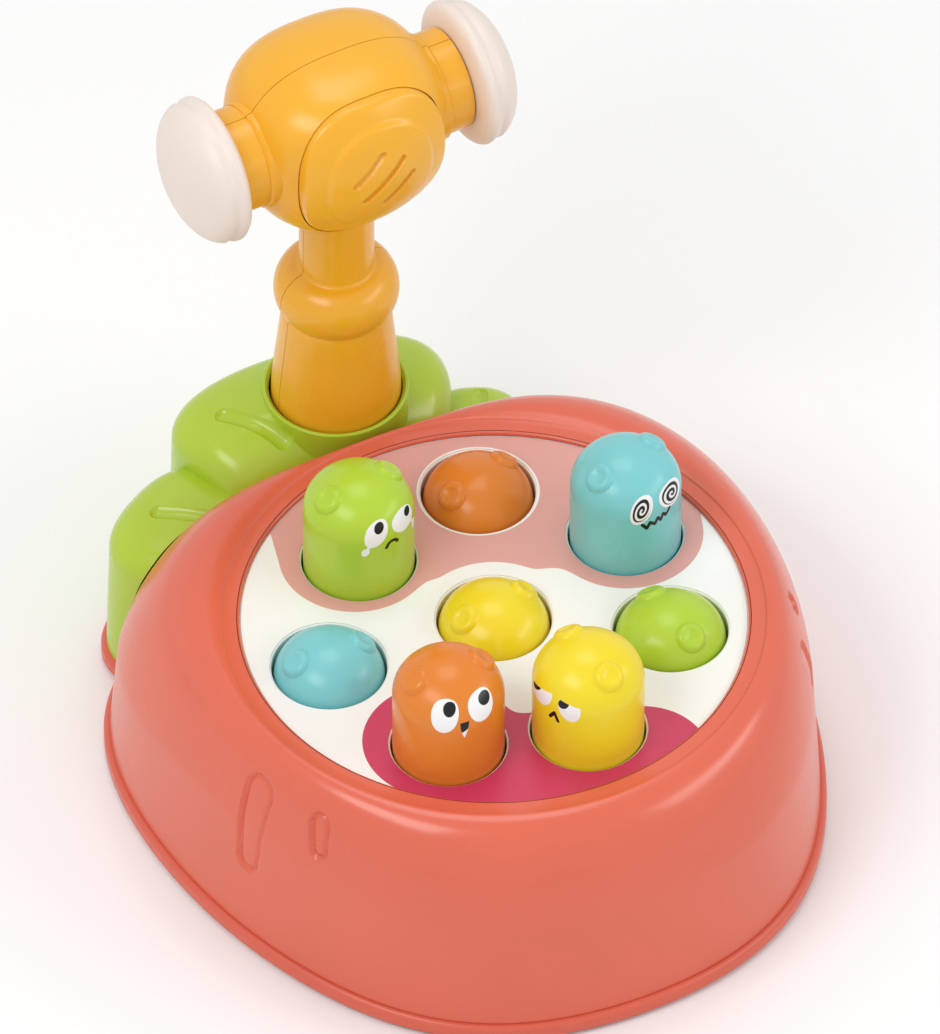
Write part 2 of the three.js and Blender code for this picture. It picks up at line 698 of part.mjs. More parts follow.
// A round button with a dished top, set square on the side of a mole's dome
function moleEar(side) {
  const button = turned([
    [0, -EAR_SINK],
    [EAR_RADIUS, -EAR_SINK],
    [EAR_RADIUS, EAR_PROUD - EAR_ROUND],
    [EAR_RADIUS - EAR_ROUND, EAR_PROUD],
    [0, EAR_PROUD - EAR_DISH],
  ], MIDDLE_STEPS);
  const rise = Math.sqrt(1 - EAR_OFFSET_SHARE ** 2);
  const tilt = Math.atan2(EAR_OFFSET_SHARE / moleRadius, rise / MOLE_DOME);
  return button.rotate([0, side * THREE.MathUtils.radToDeg(tilt), 0]).translate([
    side * EAR_OFFSET_SHARE * moleRadius,
    0,
    MOLE_SHOW + MOLE_DOME * rise,
  ]);
}

// The dome, ears, skirt and stop flange of a mole, with the game panel's level at z = 0
function moleCap() {
  const inner = moleRadius - MOLE_WALL;
  const flange = moleRadius + MOLE_FLANGE_PROUD;
  const flangeTop = -MOLE_SKIRT + MOLE_FLANGE_THICKNESS;
  const outside = turned([
    [0, -MOLE_SKIRT],
    [flange, -MOLE_SKIRT],
    [flange, flangeTop],
    [moleRadius, flangeTop],
    ...dome(moleRadius, MOLE_DOME, ARC_STEPS + 1).reverse(),
  ]);
  const inside = turned([
    [0, -MOLE_SKIRT - CUT_OVERRUN],
    [inner, -MOLE_SKIRT - CUT_OVERRUN],
    ...dome(inner, MOLE_DOME - MOLE_WALL, 2).reverse(),
  ]);
  return joined([outside, moleEar(1), moleEar(-1)]).subtract(inside);
}

// The stem inside a mole: a disc closes the skirt and a slotted tab takes the rocker's pin
function plunger() {
  const pinHeight = pivotHeight + halfTravel - PANEL_HEIGHT;
  const discRadius = moleRadius - MOLE_WALL - FIT_GAP;
  const discBottom = -MOLE_SKIRT + FIT_GAP;
  const stemTop = MOLE_SHOW + MOLE_DOME - MOLE_WALL - STEM_RADIUS / 2 - FIT_GAP;
  const tabTop = pinHeight + TAB_RISE;
  const slotHalf = pinSway + PIN_RADIUS + PIN_PLAY;
  const slotHalfHeight = PIN_RADIUS + PIN_PLAY;
  const tabHalf = slotHalf + TAB_EDGE;
  const tabLow = pinHeight - slotHalfHeight - TAB_EDGE;
  const stem = turned([
    [0, tabTop],
    [STEM_RADIUS, tabTop],
    [STEM_RADIUS, discBottom],
    [discRadius, discBottom],
    [discRadius, discBottom + DISC_THICKNESS],
    [STEM_RADIUS, discBottom + DISC_THICKNESS],
    [STEM_RADIUS, stemTop - STEM_RADIUS / 2],
    [STEM_RADIUS / 2, stemTop],
    [0, stemTop],
  ], SMALL_STEPS);
  const tab = block(
    [-tabHalf, -TAB_THICKNESS / 2, tabLow],
    [tabHalf, TAB_THICKNESS / 2, tabTop + TAB_EDGE],
  );
  const slot = block(
    [-slotHalf, -TAB_THICKNESS, pinHeight - slotHalfHeight],
    [slotHalf, TAB_THICKNESS, pinHeight + slotHalfHeight],
  );
  return stem.add(tab).subtract(slot);
}

// A see-saw lever: two side plates round one hub, with a cross pin at each end
function rocker() {
  const outline = [];
  const arc = (x, radius, from, to) => {
    for (let i = 0; i <= ARC_STEPS; i += 1) {
      const angle = from + ((to - from) * i) / ARC_STEPS;
      outline.push([x + radius * Math.cos(angle), radius * Math.sin(angle)]);
    }
  };
  arc(pinArm, ROCKER_END_RADIUS, -Math.PI / 2, Math.PI / 2);
  arc(0, ROCKER_HUB_RADIUS, Math.PI / 3, (2 * Math.PI) / 3);
  arc(-pinArm, ROCKER_END_RADIUS, Math.PI / 2, (3 * Math.PI) / 2);
  arc(0, ROCKER_HUB_RADIUS, (4 * Math.PI) / 3, (5 * Math.PI) / 3);
  const plates = [plateInner, -plateOuter].map((start) => prism(outline, start, start + ROCKER_PLATE));
  const hub = cylinder(ROCKER_HUB_RADIUS, -plateOuter, plateOuter, MIDDLE_STEPS);
  const pins = [-pinArm, pinArm].map((x) => cylinderAt(x, 0, PIN_RADIUS, -plateOuter, plateOuter));
  const bore = cylinder(AXLE_RADIUS + FIT_GAP, -plateOuter - CUT_OVERRUN, plateOuter + CUT_OVERRUN, SMALL_STEPS);
  return joined([...plates, hub, ...pins]).subtract(bore).rotate([90, 0, 0]);
}

function axle() {
  const end = standOuter + FIT_GAP;
  const pin = turned([
    [0, -end],
    [AXLE_RADIUS, -end],
    [AXLE_RADIUS, end],
    [AXLE_HEAD_RADIUS, end],
    [AXLE_HEAD_RADIUS, end + AXLE_HEAD],
    [0, end + AXLE_HEAD],
  ], SMALL_STEPS);
  return pin.rotate([90, 0, 0]);
}

function seeSawUnit(unit) {
  const { x, y, heading } = unitPlace(unit);
  const group = new THREE.Group();
  group.position.set(x, y, 0);
  group.rotation.z = heading;
  const shift = { raised: 0, lowered: -moleTravel };
  ['raised', 'lowered'].forEach((state) => {
    const side = state === 'raised' ? 1 : -1;
    const colour = unit[state];
    const mole = new THREE.Group();
    mole.position.set(side * halfSpacing, 0, PANEL_HEIGHT + shift[state]);
    const cap = meshOf(`mole_cap_${unit.name}_${colour}`, moleCap(), moleColours[colour]);
    cap.rotation.z = THREE.MathUtils.degToRad(EAR_TURN);
    mole.add(cap, meshOf(`mole_plunger_${unit.name}_${colour}`, plunger(), partWhite));
    group.add(mole);
  });
  const lever = meshOf(`rocker_${unit.name}`, rocker(), partWhite);
  lever.position.z = pivotHeight;
  lever.rotation.y = -rockerAngle;
  const pin = meshOf(`rocker_axle_${unit.name}`, axle(), steel);
  pin.position.z = pivotHeight;
  group.add(lever, pin);
  return group;
}

// Game panel

// An ear that hangs from the panel's edge and reaches out under a screw boss of the body
function panelEar(angle) {
  const webOuter = panelRadius - PANEL_EAR_WALL;
  const web = block(
    [-bossRadius, -webOuter, panelEarTop - PANEL_EAR_THICKNESS],
    [bossRadius, -webOuter + PANEL_EAR_WALL, panelBottom + PANEL_THICKNESS / 2],
  );
  const shelf = block(
    [-bossRadius, -panelScrewRadius, panelEarTop - PANEL_EAR_THICKNESS],
    [bossRadius, -webOuter + PANEL_EAR_WALL, panelEarTop],
  );
  const end = cylinderAt(0, -panelScrewRadius, bossRadius, panelEarTop - PANEL_EAR_THICKNESS, panelEarTop);
  return joined([web, shelf, end]).rotate([0, 0, angle]);
}

function gamePanel() {
  const disc = cylinder(panelRadius, panelBottom, panelTop, BODY_STEPS);
  const ears = PANEL_SCREW_ANGLES.map(panelEar);
  const guides = holePlaces().map(([x, y]) => (
    cylinderAt(x, y, moleHoleRadius + GUIDE_WALL, guideBottom, panelBottom + FIT_GAP, ROUND_STEPS)
  ));
  return cutBy(joined([disc, ...ears, ...guides]), [
    ...holePlaces().map(([x, y]) => (
      cylinderAt(x, y, moleHoleRadius, guideBottom - CUT_OVERRUN, panelTop + CUT_OVERRUN, ROUND_STEPS)
    )),
    ...panelScrewPlaces.map((at) => (
      screwBore(at, panelEarTop - PANEL_EAR_THICKNESS - CUT_OVERRUN, panelEarTop + CUT_OVERRUN)
    )),
  ]);
}

function printedSheet() {
  const sheet = cylinder(PANEL_OPENING_RADIUS - FIT_GAP, panelTop, PANEL_HEIGHT, BODY_STEPS);
  const holeRadius = moleHoleRadius + SHEET_HOLE_MARGIN;
  return cutBy(sheet, holePlaces().map(([x, y]) => (
    cylinderAt(x, y, holeRadius, panelTop - CUT_OVERRUN, PANEL_HEIGHT + CUT_OVERRUN, ROUND_STEPS)
  )));
}

// Hammer, drawn with its foot at z = 0 and its face towards -Y

function squareBall(grow) {
  const geometry = new THREE.SphereGeometry(1, HEAD_STEPS, HEAD_RINGS);
  const half = HEAD_HALF.map((value) => value + grow);
  const position = geometry.attributes.position;
  for (let i = 0; i < position.count; i += 1) {
    const unit = [position.getX(i), position.getY(i), position.getZ(i)];
    const sum = unit.reduce((all, value, k) => all + Math.abs(value / half[k]) ** HEAD_SQUARENESS, 0);
    const reach = sum ** (-1 / HEAD_SQUARENESS);
    position.setXYZ(i, unit[0] * reach, unit[1] * reach, unit[2] * reach);
  }
  return toSolid(geometry).translate([0, 0, HEAD_RISE]);
}

function handle(wall) {
  const grip = Array.from({ length: 2 * ARC_STEPS }, (_, i) => {
    const angle = Math.PI * ((i + 0.5) / (2 * ARC_STEPS) - 0.5);
    return [GRIP_RADIUS + GRIP_ROUND * Math.cos(angle) - wall, GRIP_RISE + GRIP_ROUND * Math.sin(angle)];
  });
  return turned([
    [0, wall],
    [HANDLE_RADII[0] - HANDLE_FOOT_EDGE - wall, wall],
    ...HANDLE_RADII.map((radius, i) => [radius - wall, Math.max(HANDLE_RISES[i], wall + FIT_GAP)]),
    ...grip,
    [NECK_RADIUS - wall, GRIP_RISE + GRIP_ROUND + FIT_GAP],
    [NECK_RADIUS - wall, HEAD_RISE],
    [0, HEAD_RISE],
  ], ROUND_STEPS);
}

function arms(radius, reach) {
  return cylinder(radius, -reach, reach, ROUND_STEPS).rotate([0, 90, 0]).translate([0, 0, HEAD_RISE]);
}

// A prism through the front of the head with the outline of the face plate or of its raised middle
function facePrism(half, grow, lift) {
  const outline = superEllipse(half[0] + grow, half[1] + grow, PLATE_SQUARENESS, LEAF_STEPS);
  const depth = HEAD_HALF[1] + 2 * PLATE_STEP + CUT_OVERRUN;
  return prism(outline, 0, depth).rotate([90, 0, 0]).translate([0, 0, HEAD_RISE + lift]);
}

// A round bar through the hammer from front to back, at a height on its middle line
function throughBar(rise, radius, low, high) {
  return cylinder(radius, low, high, SMALL_STEPS).rotate([-90, 0, 0]).translate([0, 0, rise]);
}

function hammerBody() {
  const outside = joined([
    squareBall(0),
    handle(0),
    arms(ARM_RADIUS, ARM_REACH),
    arms(ARM_RADIUS + ARM_RING_PROUD, ARM_REACH - ARM_RING_SET_BACK),
  ]);
  const inside = joined([
    squareBall(-HEAD_WALL),
    handle(HAMMER_WALL),
    arms(ARM_RADIUS - HAMMER_WALL, ARM_REACH - HAMMER_WALL),
    arms(PAD_STEM_RADIUS + FIT_GAP, ARM_REACH + CUT_OVERRUN),
  ]);
  const rises = [...HAMMER_SCREW_RISES, HEAD_RISE];
  const posts = rises.map((rise) => throughBar(rise, screwHeadRoom + BOSS_WALL, -hammerReach, hammerReach));
  const plateRoom = facePrism(PLATE_HALF, FIT_GAP, PLATE_LIFT);
  const boreEnd = HAMMER_SCREW_SEAT - SCREW_LENGTH - CUT_OVERRUN;
  return cutBy(outside.subtract(inside).add(joined(posts).intersect(outside)), [
    plateRoom.subtract(squareBall(PLATE_PROUD - PLATE_THICKNESS - FIT_GAP)),
    ...rises.map((rise) => throughBar(rise, SCREW_RADIUS + FIT_GAP, boreEnd, hammerReach)),
    ...rises.map((rise) => throughBar(rise, screwHeadRoom, HAMMER_SCREW_SEAT, hammerReach)),
  ]);
}

function hammerHalf(side) {
  const seam = FIT_GAP / 2;
  const low = side > 0 ? seam : -hammerReach;
  return hammerBody().intersect(block(
    [-hammerReach, low, -CUT_OVERRUN],
    [hammerReach, low + hammerReach - seam, HEAD_RISE + hammerReach],
  ));
}

function facePlate() {
  const skin = squareBall(PLATE_PROUD).subtract(squareBall(PLATE_PROUD - PLATE_THICKNESS));
  const step = squareBall(PLATE_PROUD + PLATE_STEP).subtract(squareBall(PLATE_PROUD - FIT_GAP));
  const plate = skin.intersect(facePrism(PLATE_HALF, 0, PLATE_LIFT));
  const raised = step.intersect(facePrism(PLATE_INNER_HALF, 0, PLATE_INNER_LIFT));
  const front = -HEAD_HALF[1] - PLATE_PROUD - PLATE_STEP;
  const slots = SLOT_LENGTHS.map((length, i) => {
    const slot = block(
      [-SLOT_WIDTH / 2, front - CUT_OVERRUN, -length / 2],
      [SLOT_WIDTH / 2, front + SLOT_DEPTH, length / 2],
    );
    const [x, z] = SLOT_MIDDLE.map((value, axis) => value + (i - 1) * SLOT_STEP[axis]);
    return slot.rotate([0, SLOT_SLANT, 0]).translate([x, 0, HEAD_RISE + z]);
  });
  return cutBy(plate.add(raised), slots);
}

function pad(side) {
  const inner = ARM_REACH + FIT_GAP;
  const rim = padCentre - PAD_EDGE / 2;
  const front = rim + PAD_EDGE * PAD_EDGE_SHARES.front;
  const stemEnd = ARM_REACH - PAD_STEM;
  const profile = turned([
    [0, stemEnd],
    [PAD_STEM_RADIUS, stemEnd],
    [PAD_STEM_RADIUS, inner],
    [ARM_RADIUS + FIT_GAP, inner],
    [PAD_RADIUS - PAD_EDGE / 2, rim + PAD_EDGE * PAD_EDGE_SHARES.back],
    [PAD_RADIUS, rim + PAD_EDGE * PAD_EDGE_SHARES.widest],
    [PAD_RADIUS - PAD_EDGE / 2, front],
    ...PAD_CROWN_SHARES.map(([out, up]) => [PAD_RADIUS * out, front + PAD_CROWN * up]),
  ], ROUND_STEPS);
  return profile.rotate([0, side > 0 ? 90 : -90, 0]).translate([0, 0, HEAD_RISE]);
}

function hammer() {
  const group = new THREE.Group();
  group.position.set(0, socketY, hammerFoot);
  group.rotation.z = THREE.MathUtils.degToRad(HAMMER_TURN);
  group.add(
    meshOf('hammer_front_shell', hammerHalf(-1), amber),
    meshOf('hammer_rear_shell', hammerHalf(1), amber),
    meshOf('hammer_face_plate', facePlate(), amber),
  );
  [['left', -1], ['right', 1]].forEach(([name, side]) => {
    group.add(meshOf(`hammer_pad_${name}`, pad(side), cream));
  });
  return group;
}

// Assembly

const toy = new THREE.Group();
toy.add(
  meshOf('base_plate', basePlate(), coral),
  meshOf('body_shell', bodyShell(), coral),
  meshOf('leaf_cover', leafCover(), leafGreen),
  meshOf('game_panel', gamePanel(), panelWhite),
  meshOf('printed_sheet', printedSheet(), sheetWhite),
);
footPlaces.forEach((at, i) => toy.add(meshOf(`rubber_foot_${i + 1}`, foot(at), rubber)));
UNITS.forEach((unit) => toy.add(seeSawUnit(unit)));
toy.add(hammer());

// The origin is under the middle of the whole toy, on the surface that it stands on
const bounds = new THREE.Box3().setFromObject(toy, true);
toy.position.y = -(bounds.min.y + bounds.max.y) / 2;

export default toy;
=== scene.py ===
# Mole pounding game: the looks of each piece, over the CAD model of the same toy.
# Lengths in this script are millimetres until a mesh is made. The toy's own axes have the middle of
# the game panel at x = y = 0, the front towards -Y, and z = 0 where the rubber feet stand.
# Pieces are worked out on those axes and kept, in metres, where the frame has the panel.
import math

import bmesh
import bpy
import numpy as np
from mathutils import Matrix, Vector


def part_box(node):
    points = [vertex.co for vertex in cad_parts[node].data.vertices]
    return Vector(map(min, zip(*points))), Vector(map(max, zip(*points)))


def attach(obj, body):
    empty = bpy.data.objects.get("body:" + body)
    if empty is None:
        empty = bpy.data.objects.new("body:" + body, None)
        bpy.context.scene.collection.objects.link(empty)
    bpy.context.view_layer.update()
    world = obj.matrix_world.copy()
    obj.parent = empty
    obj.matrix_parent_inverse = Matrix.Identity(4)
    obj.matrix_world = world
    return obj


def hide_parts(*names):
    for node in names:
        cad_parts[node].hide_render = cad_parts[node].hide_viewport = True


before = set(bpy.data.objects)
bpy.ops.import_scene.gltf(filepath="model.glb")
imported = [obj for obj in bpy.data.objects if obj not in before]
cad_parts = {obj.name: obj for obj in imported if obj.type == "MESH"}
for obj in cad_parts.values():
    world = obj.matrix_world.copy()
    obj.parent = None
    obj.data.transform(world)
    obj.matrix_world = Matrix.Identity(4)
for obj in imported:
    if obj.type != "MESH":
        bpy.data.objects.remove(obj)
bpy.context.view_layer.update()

MM = 0.001
sheet_low, sheet_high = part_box("printed_sheet")
PANEL_CENTRE = (sheet_low + sheet_high) / 2

# Base plate and feet
FOOT_RADIUS = 8
FOOT_PROUD = 1.2
FOOT_ROUND = 0.6
FOOT_GROOVE_DEPTH = 0.25
FOOT_GROOVE = (2.4, 2.1, 1.6, 1.3)
FOOT_INSET = 13.7
BASE_FLOOR_TOP = 3.8
BASE_TOP = 6.2
BASE_PROUD = 1.79
LEAF_BASE_PROUD = 1.5
BASE_LAND = 6
BASE_ROUND = 1.7
BASE_CHAMFER = 0.7
BODY_SCREW_RADIUS = 82.1
PIVOT_HEIGHT = 23.4
STAND_INNER = 5.2
STAND_THICKNESS = 3
STAND_HALF_WIDTH = 4.6
STAND_ROOT = 1
AXLE_RADIUS = 2

# Carrot body
BODY_RADIUS = 99.6
BODY_WAVE_SHARES = [-0.0263, -0.0157, 0.0759, -0.0574, 0.0196, -0.0107]
BODY_DRAFT = 2.4
BODY_WALL = 2.2
BODY_EDGE = 0.3
BODY_EDGE_SET_BACK = 0.02
SHOULDER_DROP = 18.5
SHOULDER_DROP_SHARE = 0.62
SHOULDER_RISE_ANGLE = 23
SHOULDER_START_SHARE = 0.6
SHOULDER_END_SHARE = 0.25
CREASE_RADIUS = 78.2
RING_TOP = 71.7
RING_BOTTOM = 70
RING_SINK = 0.45
RING_ROUND = 0.9
OPENING_RADIUS = 72.7
RING_LAND = 0.5

# The step from the shoulder down to the panel's ring: how far in from the crease, and how far down
CREASE_STEPS = [(0.25, 0.1), (0.45, RING_SINK - 0.1), (0.7, RING_SINK)]
RING_LOOP_RADII = [75, 74.2, 73.4]

# Game panel and its printed sheet
PANEL_TOP = 69.7
PANEL_BOTTOM = 67.3
PANEL_RADIUS = 73.7
PANEL_EDGE = 0.4
PANEL_TOP_EDGE = 0.3
SHEET_TOP = 70
SHEET_RADIUS = 72.4
SHEET_EDGE = 0.08
SHEET_HOLE_RADIUS = 17.15
HOLE_RADIUS = 16.55
HOLE_ROUND = 0.5
GUIDE_WALL = 1.75
GUIDE_BOTTOM = 56.6
GUIDE_ROOT = 1

# Moles
MOLE_RADIUS = 16
MOLE_WALL = 1.8
MOLE_DOME = 13
MOLE_SHOW = 20.6
MOLE_SKIRT = 16
MOLE_TRAVEL = 24.6
MOLE_FLANGE = 2
MOLE_EDGE = 0.3
MOLE_WALL_LOOPS = (-8, 0, 7, 14)
EAR_OFFSET = 10.56
EAR_TURN = 65
HOLE_RING_RADIUS = 50.6
PAIR_SPACING = 45.4

# Leaves and socket
LEAF_WALL = 2.2
LEAF_DRAFT = 1.2
LEAF_ROUND = 7
LEAF_SQUARENESS = 2.5
LEAF_STEPS = 144
LEAF_FRONT_START = 1.7
LEAF_FRONT_DROP = 16
LEAF_FRONT_REACH = 24
VEIN_RADIUS = 3.2
VEIN_DEPTH = 1.4
SOCKET_STAND_OFF = 19.9
SOCKET_RADIUS = 19.4
SOCKET_WALL = 1.9
SOCKET_RIM = 70
SOCKET_RIM_ROUND = 0.5
SOCKET_BOTTOM = 46
SOCKET_FLOOR = 2.2
SOCKET_CHAMFER = 1

# The flare of the socket's mouth: how far out from its bore, and how high against its rim
SOCKET_MOUTH = [(0, -1.1), (0.35, -0.5), (1, 0.01)]

# Hammer
HAMMER_FOOT = 46.3
HAMMER_TURN = 2.7
HAMMER_LEAN = 0.45
HAMMER_WALL = 2
HEAD_RISE = 130.5
HEAD_HALF = (30.8, 29.3, 27.6)
HEAD_SQUARENESS = 2.6
HEAD_FRONT_SHARE = 0.93
HEAD_CHEEK_SHARE = 0.11
HEAD_CHEEK_REACH = 8
HEAD_WALL = 4.4
ARM_RADIUS = 15.2
ARM_REACH = 37
ARM_EDGE = 0.5
ARM_RING_RADIUS = 16.2
ARM_RING_REACH = 29.5
ARM_RING_EDGE = 0.7
GRIP_RADIUS = 9.9
GRIP_ROUND = 8.3
GRIP_HALF_HEIGHT = 9.75
GRIP_RISE = 64
NECK_RADIUS = 10.85
NECK_ROOT = (0.3, 0.2)
NECK_STRAIGHT_START = 1
SEAM = 0.22
SKIN = 0.4
HAMMER_ROOM = 80
HAMMER_ROOM_ENDS = (-20, 220)

# Radius and rise of the handle's skirt, from its foot up to the grip
HANDLE_SKIRT = [(17.6, 0.4), (18.2, 3), (18.75, 8), (18.95, 14), (18.95, 21), (18.7, 27), (18.2, 33),
                (17.6, 38.5), (16.95, 44.5), (16.3, 51), (15.95, 55.2)]
HANDLE_FOOT_EDGE = 1.2

# Face plate of the hammer's head
PLATE_HALF = (22.7, 23.75)
PLATE_SQUARENESS = 2.7
PLATE_LIFT = 0.7
PLATE_REACH = 29.5
PLATE_SAG = (6.2, 8.4)
PLATE_SAG_AT = 23
PLATE_EDGE_ROUND = 0.9
PLATE_INNER_HALF = (16.5, 18)
PLATE_INNER_SQUARENESS = 2.3
PLATE_STEP = 0.8
PLATE_STEP_WIDTH_SHARE = 0.09
PLATE_SEAT = 4.5
PLATE_GROOVE = 0.3
PLATE_LOOP_STEP = 0.28

# Slots in the face plate, from the upper left: how far up across their slant, and length
SLOTS = [(6.8, 11.6), (0, 16.4), (-6.8, 11.6)]
SLOT_MIDDLE = (-0.3, 1.8)
SLOT_SLANT = 43
SLOT_HALF_WIDTH = 0.95
SLOT_DEPTH = 1.3
SLOT_EDGE = 0.6

# Radius and reach of a pad along its arm: stem and back, then the rim and the groove behind the dome
PAD_STEM_RADIUS = 8
PAD_STEM_EDGE = 0.4
PAD_STEM_START = 28
PAD_BACK = 37.3
PAD_RIM = [(15.2, PAD_BACK), (17.5, 37.55), (19.4, 38), (20.7, 38.6), (21.5, 39.4), (21.85, 40.3),
           (21.7, 41.2), (21.2, 42), (20.85, 42.6), (20.8, 43.2)]
PAD_DOME_RADIUS = 21.5
PAD_DOME_START = 42
PAD_DOME_HEIGHT = 11.4
PAD_DOME_ANGLES = (11, 88)
PAD_DOME_FULLNESS = 0.95

# Screws
SCREW_RADIUS = 1.2
SCREW_HEAD_RADIUS = 2.7
SCREW_HEAD = 1.6
SCREW_SINK = 0.4
SCREW_HOLE_DEPTH = 20
SCREW_MOUTH = (1, 1.9)
BASE_SCREW_LENGTH = 9
HAMMER_SCREW_LENGTH = 8
HAMMER_SCREW_SEAT = 5
HAMMER_SCREW_RISES = (34, 85, HEAD_RISE)
HAMMER_SCREW_BORE = 11
HAMMER_POST_WALL = 2.2

GAP = 0.3
OVERRUN = 4


def eased(value):
    """Runs smoothly from 0 to 1 as the value does."""
    value = np.clip(value, 0, 1)
    return value * value * (3 - 2 * value)


# Meshes

def mesh_piece(name, points, faces):
    """A mesh object from points in millimetres on the toy's own axes."""
    mesh = bpy.data.meshes.new(name)
    placed = np.asarray(points, dtype=float) * MM
    placed[:, 0] += PANEL_CENTRE.x
    placed[:, 1] += PANEL_CENTRE.y
    mesh.from_pydata(placed.tolist(), [], faces)
    mesh.update()
    piece = bpy.data.objects.new(name, mesh)
    bpy.context.scene.collection.objects.link(piece)
    return piece


def loft(name, rings, wrapped=False):
    """A closed surface through rings of equally many points, lowest or innermost ring first, each
    anticlockwise from above. A ring of one point is a pole; a wrapped loft closes on its first ring."""
    rings = [np.asarray(ring, dtype=float) for ring in rings]
    starts = np.cumsum([0] + [len(ring) for ring in rings])
    pairs = list(zip(range(len(rings)), range(1, len(rings))))
    if wrapped:
        pairs.append((len(rings) - 1, 0))
    faces = []
    for low, high in pairs:
        count = max(len(rings[low]), len(rings[high]))
        for i in range(count):
            k = (i + 1) % count
            if len(rings[low]) == 1:
                faces.append((starts[low], starts[high] + k, starts[high] + i))
            elif len(rings[high]) == 1:
                faces.append((starts[low] + i, starts[low] + k, starts[high]))
            else:
                faces.append((starts[low] + i, starts[low] + k, starts[high] + k, starts[high] + i))
    return mesh_piece(name, np.concatenate(rings), faces)


def turned(name, profile, steps=96):
    """A solid of revolution about Z from (radius, height) pairs, from the bottom of the axis to its top."""
    around = np.linspace(0, 2 * math.pi, steps, endpoint=False)
    rings = []
    for radius, height in profile:
        if radius < 1e-6:
            rings.append([(0, 0, height)])
        else:
            rings.append(np.stack([radius * np.cos(around), radius * np.sin(around),
                                   np.full(steps, height)], axis=1))
    return loft(name, rings)


def bar_along(name, line, radius, steps=28):
    """A round bar with round ends along a line of points."""
    line = np.asarray(line, dtype=float)
    ahead = np.gradient(line, axis=0)
    ahead /= np.linalg.norm(ahead, axis=1, keepdims=True)
    side = np.cross(ahead, (0, 0, 1))
    side /= np.linalg.norm(side, axis=1, keepdims=True)
    up = np.cross(side, ahead)
    around = np.linspace(0, 2 * math.pi, steps, endpoint=False)[:, None]
    bends = np.linspace(0, math.pi / 2, 8, endpoint=False)
    stops = [(0, -math.cos(a), math.sin(a)) for a in bends[1:]] + [(i, 0, 1) for i in range(len(line))]
    stops += [(-1, math.sin(a), math.cos(a)) for a in bends[1:]]
    rings = []
    for i, reach, size in stops:
        across = np.cos(around) * up[i] + np.sin(around) * side[i]
        rings.append(line[i] + radius * (reach * ahead[i] + size * across))
    return loft(name, [[line[0] - radius * ahead[0]], *rings, [line[-1] + radius * ahead[-1]]])


def super_ellipse(squareness, steps):
    """Points of a unit outline between an ellipse and its box, anticlockwise."""
    angles = np.linspace(0, 2 * math.pi, steps, endpoint=False)
    round_about = np.stack([np.cos(angles), np.sin(angles)], axis=1)
    return np.sign(round_about) * np.abs(round_about) ** (2 / squareness)


def prism(name, outline, low, high):
    count = len(outline)
    points = [(x, y, low) for x, y in outline] + [(x, y, high) for x, y in outline]
    faces = [tuple(reversed(range(count))), tuple(range(count, 2 * count))]
    faces += [(i, (i + 1) % count, count + (i + 1) % count, count + i) for i in range(count)]
    return mesh_piece(name, points, faces)


def block(name, low, high):
    outline = [(low[0], low[1]), (high[0], low[1]), (high[0], high[1]), (low[0], high[1])]
    return prism(name, outline, low[2], high[2])


def place(piece, turn=None, at=(0, 0, 0)):
    """Turns a piece about the toy's own origin, then moves it, with the result kept in its mesh."""
    home = Matrix.Translation((PANEL_CENTRE.x, PANEL_CENTRE.y, 0))
    turn = turn or Matrix.Identity(4)
    move = Matrix.Translation(Vector(at) * MM)
    piece.data.transform(home @ move @ turn @ home.inverted())
    return piece


def turn_about(axis, degrees):
    return Matrix.Rotation(math.radians(degrees), 4, axis)


def bake(piece):
    """Keeps what the modifiers make as the piece's own mesh."""
    piece_now = piece.evaluated_get(bpy.context.evaluated_depsgraph_get())
    mesh = bpy.data.meshes.new_from_object(piece_now)
    piece.modifiers.clear()
    old = piece.data
    piece.data = mesh
    bpy.data.meshes.remove(old)
    mesh.name = piece.name
    return piece


def combined(piece, tools, operation):
    for tool in tools:
        step = piece.modifiers.new(tool.name, "BOOLEAN")
        step.operation = operation
        step.solver = "MANIFOLD"
        step.object = tool
    bake(piece)
    for tool in tools:
        bpy.data.objects.remove(tool)
    return piece


def joined(piece, *tools):
    return combined(piece, tools, "UNION")


def cut(piece, *tools):
    return combined(piece, tools, "DIFFERENCE")


def common(piece, *tools):
    return combined(piece, tools, "INTERSECT")


def softened(piece, angle=32, weighted=False):
    """Smooth shading with creases kept where faces meet at more than the angle."""
    piece.data.shade_smooth()
    piece.data.set_sharp_from_angle(angle=math.radians(angle))
    if weighted:
        even = piece.modifiers.new("even shading", "WEIGHTED_NORMAL")
        even.keep_sharp = True
        bake(piece)
    return piece


def finished(piece, body, nodes, finish):
    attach(piece, body)
    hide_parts(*nodes)
    piece.data.materials.clear()
    piece.data.materials.append(finish.material)
    return piece


def rounded(radius, centre_r, centre_z, start, end, steps=6):
    """Points of an arc as (radius, height) pairs, from one angle to another in degrees."""
    angles = [math.radians(start + (end - start) * i / steps) for i in range(steps + 1)]
    return [(centre_r + radius * math.cos(a), centre_z + radius * math.sin(a)) for a in angles]


# Nodes

